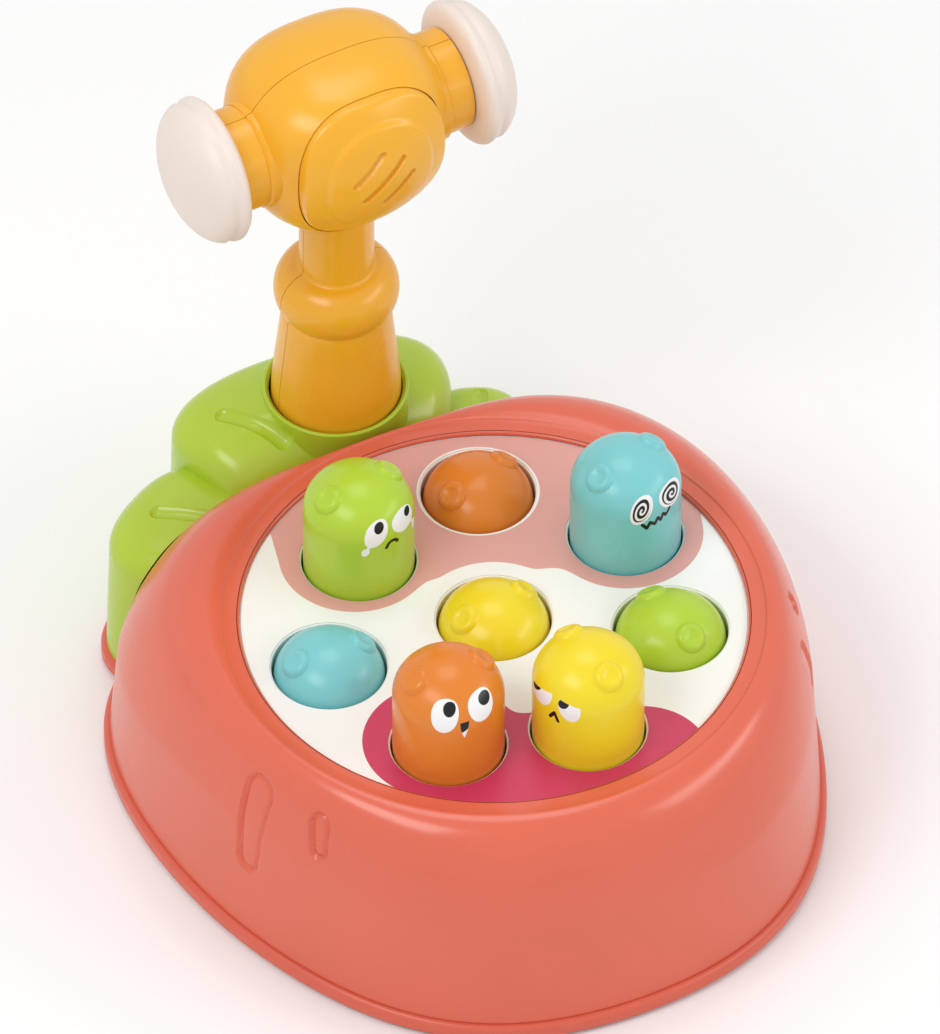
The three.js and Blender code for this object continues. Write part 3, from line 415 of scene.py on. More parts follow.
class Term:
    """A value inside a node tree, so that a formula reads as arithmetic."""

    def __init__(self, tree, socket):
        self.tree = tree
        self.socket = socket

    def math(self, operation, *others, clamp=False):
        settings = {"operation": operation, "use_clamp": clamp}
        return Term(self.tree, self.tree.node("ShaderNodeMath", settings, self, *others).outputs[0])

    def __add__(self, other):
        return self.math("ADD", other)

    def __sub__(self, other):
        return self.math("SUBTRACT", other)

    def __mul__(self, other):
        return self.math("MULTIPLY", other)

    def __truediv__(self, other):
        return self.math("DIVIDE", other)

    def __neg__(self):
        return self.math("MULTIPLY", -1)

    def __abs__(self):
        return self.math("ABSOLUTE")

    def __rsub__(self, other):
        return -self + other

    def __rtruediv__(self, other):
        return self.math("POWER", -1) * other

    __radd__ = __add__
    __rmul__ = __mul__

    def least(self, other, blend=0):
        return self.math("SMOOTH_MIN", other, blend) if blend else self.math("MINIMUM", other)

    def most(self, other, blend=0):
        return self.math("SMOOTH_MAX", other, blend) if blend else self.math("MAXIMUM", other)

    def inside(self, edge=0.12):
        """1 where a distance is below zero, 0 above it, with an edge that soft in millimetres."""
        return (self / -edge).math("ADD", 0.5, clamp=True)


def length(x, y):
    return (x * x + y * y).math("SQRT")


class NodeTree:
    """The nodes of a material, of the world or of a geometry tree."""

    def __init__(self, tree):
        self.nodes = tree.nodes
        self.links = tree.links

    def node(self, kind, settings=None, *values, **named_values):
        """Adds a node with its settings, then its inputs in order or by name: each a term, a socket, a
        constant, or a list of terms that are all linked to it."""
        node = self.nodes.new(kind)
        for name, value in (settings or {}).items():
            setattr(node, name, value)
        given = list(zip(node.inputs, values))
        for name, value in named_values.items():
            label = name.replace("_", " ")
            socket = next(socket for socket in node.inputs if socket.enabled and socket.name == label)
            given.append((socket, value))
        for socket, value in given:
            for part in value if isinstance(value, list) else [value]:
                self.feed(socket, part)
        return node

    def feed(self, socket, value):
        if isinstance(value, Term):
            self.links.new(value.socket, socket)
        elif isinstance(value, bpy.types.NodeSocket):
            self.links.new(value, socket)
        elif value is not None:
            socket.default_value = value


# Materials

class Finish(NodeTree):
    """A material made of nodes, in millimetres about an origin on the toy's own axes."""

    def __init__(self, name, colour, roughness, origin=(0, 0, 0), turn=0, **settings):
        self.material = bpy.data.materials.new(name)
        self.material.use_nodes = True
        super().__init__(self.material.node_tree)
        self.shader = next(node for node in self.nodes if node.type == "BSDF_PRINCIPLED")
        self.shader.inputs["Base Color"].default_value = (*linear(colour), 1)
        self.shader.inputs["Roughness"].default_value = roughness
        for socket, value in settings.items():
            self.shader.inputs[socket.replace("_", " ")].default_value = value
        self.colour = linear(colour)
        place = self.node("ShaderNodeTexCoord").outputs["Object"]
        x, y, z = origin
        moved = self.node("ShaderNodeMapping", {"vector_type": "TEXTURE"}, place,
                          (PANEL_CENTRE.x + x * MM, PANEL_CENTRE.y + y * MM, z * MM),
                          (0, 0, math.radians(turn)), (MM, MM, MM))
        self.place = moved.outputs[0]
        parts = self.node("ShaderNodeSeparateXYZ", {}, self.place)
        self.x, self.y, self.z = (Term(self, output) for output in parts.outputs)

    def noise(self, size, detail=2):
        """Smooth random value near 0.5, with features about that many millimetres across."""
        node = self.node("ShaderNodeTexNoise", {"noise_dimensions": "3D"}, self.place, None, 1 / size, detail)
        return Term(self, node.outputs[0])

    def mix(self, share, below, above):
        """A colour that runs from one to another as the share goes from 0 to 1."""
        node = self.node("ShaderNodeMix", {"data_type": "RGBA"})
        colours = [socket for socket in node.inputs if socket.type == "RGBA"]
        factor = next(socket for socket in node.inputs if socket.type == "VALUE" and socket.enabled)
        self.feed(factor, share)
        for socket, colour in zip(colours, (below, above)):
            self.feed(socket, (*colour, 1) if isinstance(colour, tuple) else colour)
        return next(socket for socket in node.outputs if socket.type == "RGBA")

    def paint(self, colour):
        self.feed(self.shader.inputs["Base Color"], colour)

    def polish(self, value):
        self.feed(self.shader.inputs["Roughness"], value)

    def relief(self, height, depth):
        """A bump from a height of 0 to 1, that deep in millimetres."""
        node = self.node("ShaderNodeBump", {}, Strength=1, Distance=depth * MM, Height=height)
        self.feed(self.shader.inputs["Normal"], node.outputs[0])


def linear(colour):
    """Scene values of a colour written as 0 to 255."""
    shares = [value / 255 for value in colour]
    return tuple(v / 12.92 if v <= 0.04045 else ((v + 0.055) / 1.055) ** 2.4 for v in shares)


def either_side(colour, share):
    """A colour that share darker, and that share lighter."""
    return [tuple(min(1, value * part) for value in colour) for part in (1 - share, 1 + share)]


CLOUD_SIZE = 28
CLOUD_SHARE = 0.05
CLOUD_ROUGHNESS = 0.12
GRAIN_SIZE = 1.1


def moulded(name, colour, roughness, grain=0.012, **settings):
    """Moulded plastic: a little cloudy in colour and gloss, with a fine grain."""
    finish = Finish(name, colour, roughness, **settings)
    clouds = finish.noise(CLOUD_SIZE, 3)
    finish.cloudy = finish.mix(clouds, *either_side(finish.colour, CLOUD_SHARE))
    finish.paint(finish.cloudy)
    finish.polish(clouds * CLOUD_ROUGHNESS + (roughness - CLOUD_ROUGHNESS / 2))
    finish.relief(finish.noise(GRAIN_SIZE), grain)
    return finish


# Carrot body

def body_radius(angle):
    """Distance of the wall's foot from the panel's middle, at an angle measured from the front."""
    waves = sum(share * np.cos(count * angle) for count, share in enumerate(BODY_WAVE_SHARES, 1))
    return BODY_RADIUS * (1 + waves)


def about(angle, radius, height):
    """Points of the body at an angle from the front, stacked as x, y, z."""
    return np.stack(np.broadcast_arrays(radius * np.sin(angle), -radius * np.cos(angle), height), axis=-1)


def body_outline(offset, steps=360):
    angles = np.linspace(0, 2 * math.pi, steps, endpoint=False)
    return about(angles, body_radius(angles) + offset, 0)[:, :2]


def shoulder_point(angle, share, inset=0, drop=0):
    """Radius and height on the shoulder, from the panel's ring at 0 down to the top of the wall at 1."""
    inner = CREASE_RADIUS - inset
    outer = body_radius(angle) - BODY_DRAFT - inset
    width = outer - inner
    top = RING_TOP - drop
    fall = SHOULDER_DROP + SHOULDER_DROP_SHARE * width
    rise = math.radians(SHOULDER_RISE_ANGLE) * (1 - np.cos(angle)) / 2
    reach = SHOULDER_START_SHARE * width
    end = top - fall
    lean = BODY_DRAFT / (end - BASE_TOP)
    radii = (inner, inner + reach * np.cos(rise), outer - SHOULDER_END_SHARE * fall * lean, outer)
    heights = (top, top + reach * np.sin(rise), end + SHOULDER_END_SHARE * fall, end)
    weights = ((1 - share) ** 3, 3 * share * (1 - share) ** 2, 3 * share ** 2 * (1 - share), share ** 3)
    radius = sum(w * r for w, r in zip(weights, radii))
    height = sum(w * h for w, h in zip(weights, heights))
    return radius, height


def outer_point(angle, share):
    """Radius and height on the outside: the shoulder up to 1, then the wall down to its foot at 2."""
    radius, height = shoulder_point(angle, min(share, 1))
    below = max(share - 1, 0)
    return radius + below * BODY_DRAFT, height + below * (BASE_TOP - height)


# Angles from the front at both ends in degrees, how far down they are, and the half width at both ends
CARROT_MARKS = [
    ((-75.0, -75.9), (0.37, 1.46), (6.2, 4.4)),
    ((-60.8, -59.2), (0.38, 0.80), (4.2, 3.1)),
    ((61.4, 65.5), (0.46, 1.42), (5.4, 4.2)),
    ((73.9, 70.6), (0.35, 0.51), (4.0, 3.4)),
    ((135.8, 131.9), (0.44, 0.54), (4.0, 3.4)),
]
MARK_DEPTH = 1.3
MARK_EDGE = 1
MARK_FLOOR_RISE = 0.6
MARK_FLOOR_EDGE = 1.4
MARK_ROOM = 9

# Where the mesh of the outside has its rings, from the foot up: the shares at both ends of each stretch, and
# how many rings it has
BODY_STRETCHES = [(2, 1.55, 8), (1.55, 1, 28), (1, 0.3, 44), (0.3, 0, 11)]
ANGLE_STEP = 0.8
MARK_ANGLE_STEP = 0.3


def mark_line(mark):
    """Points along the middle of a carrot mark, with its half width at each of them."""
    angles, shares, widths = (np.linspace(*ends, 30) for ends in mark)
    line = np.array([about(math.radians(angle), *outer_point(math.radians(angle), share))
                     for angle, share in zip(angles, shares)])
    reach = np.concatenate([[0], np.cumsum(np.linalg.norm(np.diff(line, axis=0), axis=1))])
    keep = (reach >= widths[0]) & (reach <= reach[-1] - widths[-1])
    return line[keep], widths[keep]


def mark_depth(points):
    """How deep the carrot marks press each point of the outside inwards."""
    within = np.zeros(points.shape[:-1])
    for mark in CARROT_MARKS:
        for centre, width in zip(*mark_line(mark)):
            away = np.linalg.norm(points - centre, axis=-1)
            within = np.maximum(within, width - away)
    floor_rise = MARK_FLOOR_RISE * eased((within - MARK_EDGE) / MARK_FLOOR_EDGE)
    return MARK_DEPTH * eased(within / MARK_EDGE) - floor_rise


def body_angles():
    """Angles round the body, close together where a mark is pressed in."""
    angles = [-180.0]
    while angles[-1] < 180:
        near = any(min(ends) - MARK_ROOM < angles[-1] < max(ends) + MARK_ROOM for ends, _, _ in CARROT_MARKS)
        angles.append(angles[-1] + (MARK_ANGLE_STEP if near else ANGLE_STEP))
    return np.radians(angles[:-1])


def make_body():
    angles = body_angles()
    shares = [share for start, end, count in BODY_STRETCHES
              for share in np.linspace(start, end, count, endpoint=False)] + [0]
    outside = np.array([about(angles, *outer_point(angles, share)) for share in shares])
    down = np.gradient(outside, axis=0)
    before, after = np.roll(outside, 1, axis=1), np.roll(outside, -1, axis=1)
    outward = np.cross(after - before, down)
    outward /= np.linalg.norm(outward, axis=-1, keepdims=True)
    marked = outside - outward * mark_depth(outside)[..., None]
    ring = RING_TOP - RING_SINK
    inward = [(CREASE_RADIUS - inset, RING_TOP - drop) for inset, drop in CREASE_STEPS]
    inward += [(radius, ring) for radius in RING_LOOP_RADII]
    inward += rounded(RING_ROUND, OPENING_RADIUS + RING_ROUND, ring - RING_ROUND, 90, 180)
    inward += [(OPENING_RADIUS, RING_BOTTOM), (CREASE_RADIUS - BODY_WALL - RING_LAND, RING_BOTTOM)]
    foot = body_radius(angles)
    rings = [about(angles, foot - BODY_EDGE, BASE_TOP),
             about(angles, foot - BODY_EDGE_SET_BACK, BASE_TOP + BODY_EDGE), *marked[1:]]
    rings += [about(angles, radius, height) for radius, height in inward]
    rings += [about(angles, *shoulder_point(angles, share, BODY_WALL, RING_TOP - RING_BOTTOM))
              for share in np.linspace(0, 1, 8)]
    rings.append(about(angles, foot - BODY_WALL, BASE_TOP))
    return softened(loft("carrot_body", rings, wrapped=True), 40)


def body_solid(name, offset):
    """All the room the body takes up, grown by an offset."""
    angles = np.linspace(0, 2 * math.pi, 360, endpoint=False)
    low = -3 * OVERRUN
    rings = [about(angles, body_radius(angles) + offset, height) for height in (low, BASE_TOP)]
    rings += [about(angles, *shoulder_point(angles, share, -offset, -offset))
              for share in np.linspace(1, 0, 25)]
    return loft(name, [[(0, 0, low)], *rings, [(0, 0, RING_TOP + offset)]])


# Leaves

def spot(degrees, radius):
    angle = math.radians(degrees)
    return radius * math.sin(angle), -radius * math.cos(angle)


def leaf_at(angle, stand_off, *shape):
    """A leaf, with its middle at an angle from the front and off the body's foot."""
    return (*spot(angle, body_radius(math.radians(angle)) + stand_off), *shape)


SOCKET_Y = body_radius(math.pi) + SOCKET_STAND_OFF
LEAF_FRONT_Y = SOCKET_Y + LEAF_FRONT_START

# Angle and stand-off, turn in degrees, half width and length, taper, height of the top, crown
LEAVES = [
    leaf_at(-177.2, 15.6, -2, 41, 33.1, 0.27, 69.5, 8.8),
    leaf_at(-149.3, -2.2, 30, 25.1, 21.7, 0, 54.6, 3.7),
    leaf_at(157, -1.1, -22.4, 18.2, 22.3, 0, 47.3, 2.1),
]

# Both ends of the groove along each leaf, as shares of its half width and half length
LEAF_VEINS = [((-0.645, 0.3), (-0.425, -0.2)), ((-0.21, 0.34), (0.05, -0.31)), ((0.1, 0.66), (0.08, 0.12))]


def leaf_top(leaf, x, y):
    middle_x, middle_y, turn, half_width, half_length, taper, top, crown = leaf
    angle = math.radians(-turn)
    across = (x - middle_x) * math.cos(angle) - (y - middle_y) * math.sin(angle)
    along = (x - middle_x) * math.sin(angle) + (y - middle_y) * math.cos(angle)
    along = along / half_length
    across = across / (half_width * (1 + taper * along))
    share = (np.abs(along) ** LEAF_SQUARENESS + np.abs(across) ** LEAF_SQUARENESS) ** (1 / LEAF_SQUARENESS)
    height = top - crown * share ** 2
    if leaf is LEAVES[0]:
        height = height - LEAF_FRONT_DROP * np.maximum(0, (LEAF_FRONT_Y - y) / LEAF_FRONT_REACH) ** 2
    return height


def leaf_points(leaf, inset, across, along):
    """Points of a leaf from their shares across and along it, with its edge moved in by an inset."""
    middle_x, middle_y, turn, half_width, half_length, taper, _, _ = leaf
    x = (half_width - inset) * (1 + taper * along) * across
    y = (half_length - inset) * along
    angle = math.radians(turn)
    return np.stack([middle_x + x * math.cos(angle) - y * math.sin(angle),
                     middle_y + x * math.sin(angle) + y * math.cos(angle)], axis=1)


def leaf_outline(leaf, inset):
    across, along = super_ellipse(LEAF_SQUARENESS, LEAF_STEPS).T
    return leaf_points(leaf, inset, across, along)


def leaf_form(name, leaf, wall, foot):
    """One leaf as a solid, or the room inside it if a wall is given, down to its foot."""
    foot_ring = np.column_stack([leaf_outline(leaf, wall), np.full(LEAF_STEPS, foot)])
    rings = [[(leaf[0], leaf[1], foot)], foot_ring]
    for i in range(11):
        angle = math.pi / 2 * i / 10
        outline = leaf_outline(leaf, wall + LEAF_DRAFT + LEAF_ROUND * (1 - math.cos(angle)))
        height = leaf_top(leaf, outline[:, 0], outline[:, 1]) - wall - LEAF_ROUND * (1 - math.sin(angle))
        rings.append(np.column_stack([outline, height]))
    edge = wall + LEAF_DRAFT + LEAF_ROUND
    for share in np.linspace(0, 1, 14)[1:-1]:
        outline = leaf_outline(leaf, edge + (min(leaf[3], leaf[4]) - edge) * share)
        rings.append(np.column_stack([outline, leaf_top(leaf, outline[:, 0], outline[:, 1]) - wall]))
    x, y, _ = rings[-1].mean(axis=0)
    return loft(name, [*rings, [(x, y, leaf_top(leaf, x, y) - wall)]])


def vein(name, leaf, ends):
    """The round bar that presses the groove along a leaf and follows its top."""
    across, along = np.linspace(*ends, 9).T
    x, y = leaf_points(leaf, 0, across, along).T
    line = np.column_stack([x, y, leaf_top(leaf, x, y) + VEIN_RADIUS - VEIN_DEPTH])
    return bar_along(name, line, VEIN_RADIUS)


def leaf_forms(name, wall, foot):
    """All the leaves in one solid."""
    first, *others = [leaf_form(f"{name} {i}", leaf, wall, foot) for i, leaf in enumerate(LEAVES)]
    return joined(first, *others)


def make_leaves():
    body_space = body_solid("body space", GAP)
    body_wall_space = body_solid("body wall space", GAP + LEAF_WALL)
    leaves = leaf_forms("leaf", 0, BASE_TOP)
    leaves.name = "leaf_cluster"
    hollow = leaf_forms("hollow", LEAF_WALL, BASE_TOP - OVERRUN)
    cut(hollow, body_wall_space)
    cut(leaves, body_space, hollow)
    collar = SOCKET_RADIUS + SOCKET_WALL
    low = SOCKET_BOTTOM - SOCKET_FLOOR
    rim = rounded(SOCKET_RIM_ROUND, collar - SOCKET_RIM_ROUND, SOCKET_RIM - SOCKET_RIM_ROUND, 0, 90, 4)
    cup = turned("cup", [(0, low), (collar - SOCKET_CHAMFER, low), (collar, low + SOCKET_CHAMFER), *rim,
                         (0, SOCKET_RIM)])
    mouth = [(SOCKET_RADIUS + out, SOCKET_RIM + up) for out, up in SOCKET_MOUTH]
    bore = turned("bore", [(0, SOCKET_BOTTOM), (SOCKET_RADIUS - SOCKET_CHAMFER, SOCKET_BOTTOM),
                           (SOCKET_RADIUS, SOCKET_BOTTOM + SOCKET_CHAMFER), *mouth,
                           (mouth[-1][0], SOCKET_RIM + OVERRUN), (0, SOCKET_RIM + OVERRUN)])
    for form in (cup, bore):
        place(form, at=(0, SOCKET_Y, 0))
    joined(leaves, cup)
    cut(leaves, bore, *(vein(f"vein {i}", *pair) for i, pair in enumerate(zip(LEAVES, LEAF_VEINS))))
    return softened(leaves, 30, weighted=True)


# Base plate

def rimmed(name, outline_at, low, high):
    """A slab with a rounded top edge and a small chamfer below, from an outline at each inset."""
    insets = [(BASE_CHAMFER, low), (0, low + BASE_CHAMFER)]
    insets += [(BASE_ROUND * (1 - math.cos(a)), high - BASE_ROUND * (1 - math.sin(a)))
               for a in np.linspace(0, math.pi / 2, 7)]
    rings = []
    for inset, z in insets:
        outline = outline_at(inset)
        rings.append(np.column_stack([outline, np.full(len(outline), z)]))
    x, y, _ = rings[0].mean(axis=0)
    return loft(name, [[(x, y, low)], *rings, [(x, y, high)]])


body_screws = [spot(angle, BODY_SCREW_RADIUS) for angle in (-38, 38, -118, 118)]
leaf_screws = [(leaf[0], leaf[1] + leaf[4] / 2) for leaf in LEAVES[1:]] + [(0, SOCKET_Y)]
base_screws = body_screws + leaf_screws
foot_places = [spot(angle, BODY_SCREW_RADIUS - FOOT_INSET) for angle in (-35, 35, -132, 132)]

# Each see-saw unit: the angle of its middle, the way it lies, and the colours of its two moles
UNITS = [
    ("a", 42.5, -1, "blue", "orange"),
    ("b", -57.5, -1, "yellow", "green"),
    ("c", -157.5, 1, "orange", "blue"),
    ("d", 122.5, 0, "green", "yellow"),
]


def unit_place(middle, across):
    """Where the middle of a see-saw unit is, and its heading in degrees."""
    angle = math.radians(middle)
    half = PAIR_SPACING / 2
    distance = math.sqrt(HOLE_RING_RADIUS ** 2 - half ** 2) if across else half
    return distance * math.cos(angle), distance * math.sin(angle), middle + 90 * across


def mole_places():
    """Unit, colour, x, y, heading, and how far the mole is lowered, for each of the eight moles."""
    places = []
    for unit, middle, across, raised, lowered in UNITS:
        x, y, heading = unit_place(middle, across)
        dx, dy = (PAIR_SPACING / 2 * part(math.radians(heading)) for part in (math.cos, math.sin))
        places.append((unit, raised, x + dx, y + dy, heading, 0))
        places.append((unit, lowered, x - dx, y - dy, heading, MOLE_TRAVEL))
    return places


places_of_moles = mole_places()
hole_places = [(x, y) for _, _, x, y, _, _ in places_of_moles]


def pin(name, profile, places, steps=96):
    """A turned form at each of some places on the toy's x and y."""
    return [place(turned(f"{name} {i}", profile, steps), at=(x, y, 0)) for i, (x, y) in enumerate(places)]


def stand(name, unit_middle, across, side):
    """One of the two stands that carry the axle of a see-saw unit."""
    x, y, heading = unit_place(unit_middle, across)
    low = STAND_INNER if side > 0 else -STAND_INNER - STAND_THICKNESS
    root = BASE_FLOOR_TOP - STAND_ROOT
    arch = [(-STAND_HALF_WIDTH, root), (STAND_HALF_WIDTH, root)]
    arch += rounded(STAND_HALF_WIDTH, 0, PIVOT_HEIGHT, 0, 180, 24)
    column = prism(name, [(px, -pz) for px, pz in reversed(arch)], low, low + STAND_THICKNESS)
    bore, reach = AXLE_RADIUS + GAP, STAND_INNER + STAND_THICKNESS + OVERRUN
    cutter = turned("axle bore", [(0, -reach), (bore, -reach), (bore, reach), (0, reach)], 32)
    cut(column, place(cutter, at=(0, -PIVOT_HEIGHT, 0)))
    place(column, turn_about("X", -90))
    return place(column, turn_about("Z", heading), (x, y, 0))


def make_base():
    slab = rimmed("base_tray", lambda inset: body_outline(BASE_PROUD - inset), FOOT_PROUD, BASE_TOP)
    tray = prism("tray", body_outline(-BASE_LAND), BASE_FLOOR_TOP, BASE_TOP + OVERRUN)
    for leaf in LEAVES:
        joined(slab, rimmed("leaf base", lambda inset: leaf_outline(leaf, inset - LEAF_BASE_PROUD),
                            FOOT_PROUD, BASE_TOP))
        joined(tray, prism("leaf tray", leaf_outline(leaf, BASE_LAND), BASE_FLOOR_TOP, BASE_TOP + OVERRUN))
    cut(slab, tray)
    joined(slab, *(stand(f"stand {unit}{side}", middle, across, side)
                   for unit, middle, across, _, _ in UNITS for side in (1, -1)))
    recess, recess_top = FOOT_RADIUS + GAP, 2 * FOOT_PROUD
    seat = FOOT_PROUD + SCREW_HEAD + SCREW_SINK
    hole, head = SCREW_RADIUS + GAP, SCREW_HEAD_RADIUS + GAP
    mouth, mouth_top = SCREW_MOUTH
    cut(slab, *pin("foot recess", [(0, 0), (recess, 0), (recess, recess_top), (0, recess_top)], foot_places),
        *pin("screw hole", [(0, 0), (head + mouth, 0), (head, mouth_top), (head, seat), (hole, seat),
                            (hole, SCREW_HOLE_DEPTH), (0, SCREW_HOLE_DEPTH)], base_screws, 32))
    return softened(slab, 30, weighted=True)


def make_foot(name, x, y):
    top = 2 * FOOT_PROUD
    groove = [(FOOT_RADIUS - inset, height)
              for inset, height in zip(FOOT_GROOVE, (0, FOOT_GROOVE_DEPTH, FOOT_GROOVE_DEPTH, 0))]
    edge = rounded(FOOT_ROUND, FOOT_RADIUS - FOOT_ROUND, FOOT_ROUND, -90, 0, 5)
    foot = turned(name, [(0, 0), *groove, *edge, (FOOT_RADIUS, top), (0, top)], 72)
    return softened(place(foot, at=(x, y, 0)), 35)


# Game panel

def make_panel():
    disc = turned("game_board", [(0, PANEL_BOTTOM), (PANEL_RADIUS - PANEL_EDGE, PANEL_BOTTOM),
                                 (PANEL_RADIUS, PANEL_BOTTOM + PANEL_EDGE),
                                 (PANEL_RADIUS, PANEL_TOP - PANEL_TOP_EDGE),
                                 (PANEL_RADIUS - PANEL_TOP_EDGE, PANEL_TOP), (0, PANEL_TOP)], 180)
    outer, high = HOLE_RADIUS + GUIDE_WALL, PANEL_BOTTOM + GUIDE_ROOT
    joined(disc, *pin("guide", [(0, GUIDE_BOTTOM), (outer, GUIDE_BOTTOM), (outer, high), (0, high)],
                      hole_places, 72))
    mouth = [(HOLE_RADIUS + HOLE_ROUND * (1 - math.cos(a)), PANEL_TOP - HOLE_ROUND * (1 - math.sin(a)))
             for a in np.linspace(0, math.pi / 2, 6)]
    cut(disc, *pin("hole", [(0, GUIDE_BOTTOM - OVERRUN), (HOLE_RADIUS, GUIDE_BOTTOM - OVERRUN), *mouth,
                            (HOLE_RADIUS + HOLE_ROUND, PANEL_TOP + OVERRUN), (0, PANEL_TOP + OVERRUN)],
                   hole_places, 120))
    return softened(disc, 30, weighted=True)


def make_sheet():
    sheet = turned("printed_face", [(0, PANEL_TOP), (SHEET_RADIUS, PANEL_TOP),
                                    (SHEET_RADIUS, SHEET_TOP - SHEET_EDGE),
                                    (SHEET_RADIUS - SHEET_EDGE, SHEET_TOP), (0, SHEET_TOP)], 240)
    low, high = SHEET_TOP - OVERRUN, SHEET_TOP + OVERRUN
    cut(sheet, *pin("sheet hole", [(0, low), (SHEET_HOLE_RADIUS, low), (SHEET_HOLE_RADIUS, high), (0, high)],
                    hole_places, 120))
    return softened(sheet, 30, weighted=True)


# Moles

def dome(radius, height, steps):
    """Radius and height up a mole's dome, from its root to its middle."""
    return [(radius * math.cos(a), MOLE_SHOW + height * math.sin(a))
            for a in np.linspace(0, math.pi / 2, steps)]


# The round button of an ear, from its root inside the dome to its dished top
EAR_PROFILE = [(0, -2), (4.6, -2), (4.6, -0.75), (4.35, -0.2), (4, 0.3), (3.6, 0.68), (3.15, 0.92), (2.7, 1),
               (2.25, 0.94), (1.8, 0.78), (1.2, 0.62), (0.6, 0.56), (0, 0.55)]


def make_mole(name, x, y, heading, drop):
    flange = MOLE_RADIUS + MOLE_FLANGE
    flange_top = MOLE_FLANGE - MOLE_SKIRT
    outside = turned(name, [(0, -MOLE_SKIRT), (flange - MOLE_EDGE, -MOLE_SKIRT),
                            (flange, -MOLE_SKIRT + MOLE_EDGE), (flange, flange_top - MOLE_EDGE),
                            (flange - MOLE_EDGE, flange_top), (MOLE_RADIUS, flange_top),
                            *((MOLE_RADIUS, z) for z in MOLE_WALL_LOOPS),
                            *dome(MOLE_RADIUS, MOLE_DOME, 28)[:-1], (0, MOLE_SHOW + MOLE_DOME)], 120)
    share = EAR_OFFSET / MOLE_RADIUS
    rise = math.sqrt(1 - share ** 2)
    tilt = math.degrees(math.atan2(share / MOLE_RADIUS, rise / MOLE_DOME))
    ears = [place(turned(f"ear {side}", EAR_PROFILE, 64), turn_about("Y", side * tilt),
                  (side * EAR_OFFSET, 0, MOLE_SHOW + MOLE_DOME * rise)) for side in (1, -1)]
    joined(outside, *ears)
    inner = MOLE_RADIUS - MOLE_WALL
    hollow = turned("mole hollow", [(0, -MOLE_SKIRT - OVERRUN), (inner, -MOLE_SKIRT - OVERRUN),
                                    *dome(inner, MOLE_DOME - MOLE_WALL, 10)[:-1],
                                    (0, MOLE_SHOW + MOLE_DOME - MOLE_WALL)], 60)
    cut(outside, hollow)
    place(outside, turn_about("Z", heading + EAR_TURN), (x, y, SHEET_TOP - drop))
    return softened(outside, 38)


# Hammer

def front_share(x, z):
    """How far the front of the head reaches: less beside the plate, more above and below it."""
    cheek = (z * z - x * x) / (x * x + z * z + HEAD_CHEEK_REACH ** 2)
    return HEAD_FRONT_SHARE * (1 + HEAD_CHEEK_SHARE * cheek)


def square_ball(name, grow, steps=160, rows=96):
    """The hammer's head as a solid, grown by an amount: a ball drawn towards its box."""
    around = np.linspace(0, 2 * math.pi, steps, endpoint=False)
    half = [value + grow for value in HEAD_HALF]
    rings = [[(0, 0, -half[2])]]
    for tilt in np.linspace(-math.pi / 2, math.pi / 2, rows)[1:-1]:
        unit = np.stack([math.cos(tilt) * np.cos(around), math.cos(tilt) * np.sin(around),
                         np.full(steps, math.sin(tilt))], axis=1)
        reach = (np.abs(unit / half) ** HEAD_SQUARENESS).sum(axis=1) ** (-1 / HEAD_SQUARENESS)
        points = unit * reach[:, None]
        points[:, 1] *= np.where(points[:, 1] < 0, front_share(points[:, 0], points[:, 2]), 1)
        rings.append(points)
    rings.append([(0, 0, half[2])])
    return place(loft(name, rings), at=(0, 0, HEAD_RISE))


def handle(name, wall):
    """The handle as a solid, up to the middle of the head, or the room inside it if a wall is given."""
    skirt = [(radius - wall, max(height, wall + GAP)) for radius, height in HANDLE_SKIRT]
    grip = [(GRIP_RADIUS + GRIP_ROUND * math.cos(a) - wall, GRIP_RISE + GRIP_HALF_HEIGHT * math.sin(a))
            for a in np.linspace(math.radians(-48), math.radians(78), 28)]
    neck_foot, (flare, flare_rise) = GRIP_RISE + GRIP_HALF_HEIGHT, NECK_ROOT
    neck = [(NECK_RADIUS + flare - wall, neck_foot + flare_rise),
            (NECK_RADIUS - wall, neck_foot + NECK_STRAIGHT_START), (NECK_RADIUS - wall, HEAD_RISE)]
    foot = [(0, wall), (skirt[0][0] - HANDLE_FOOT_EDGE, wall)]
    return turned(name, [*foot, *skirt, *grip, *neck, (0, HEAD_RISE)], 128)


def cross_bar(name, radius, reach, edge=0):
    """A round bar through the head from side to side, with its ends' edges cut off."""
    ends = [(radius - edge, reach), (radius, reach - edge)] if edge else [(radius, reach)]
    profile = [(0, -reach), *((r, -z) for r, z in ends), *reversed(ends), (0, reach)]
    return place(turned(name, profile, 128), turn_about("Y", 90), (0, 0, HEAD_RISE))


def through_bar(name, rise, radius, low, high):
    """A round bar through the hammer from front to back, at a height on its middle line."""
    bar = turned(name, [(0, low), (radius, low), (radius, high), (0, high)], 48)
    return place(bar, turn_about("X", -90), (0, 0, rise))


def placed_on_toy(piece):
    """Stands a finished hammer piece in its socket, where it leans a little."""
    lean = Matrix.Shear("XY", 4, (math.tan(math.radians(HAMMER_LEAN)), 0))
    return place(piece, turn_about("Z", HAMMER_TURN) @ lean, (0, SOCKET_Y, HAMMER_FOOT))


def copied(piece, name):
    copy = bpy.data.objects.new(name, piece.data.copy())
    bpy.context.scene.collection.objects.link(copy)
    return copy


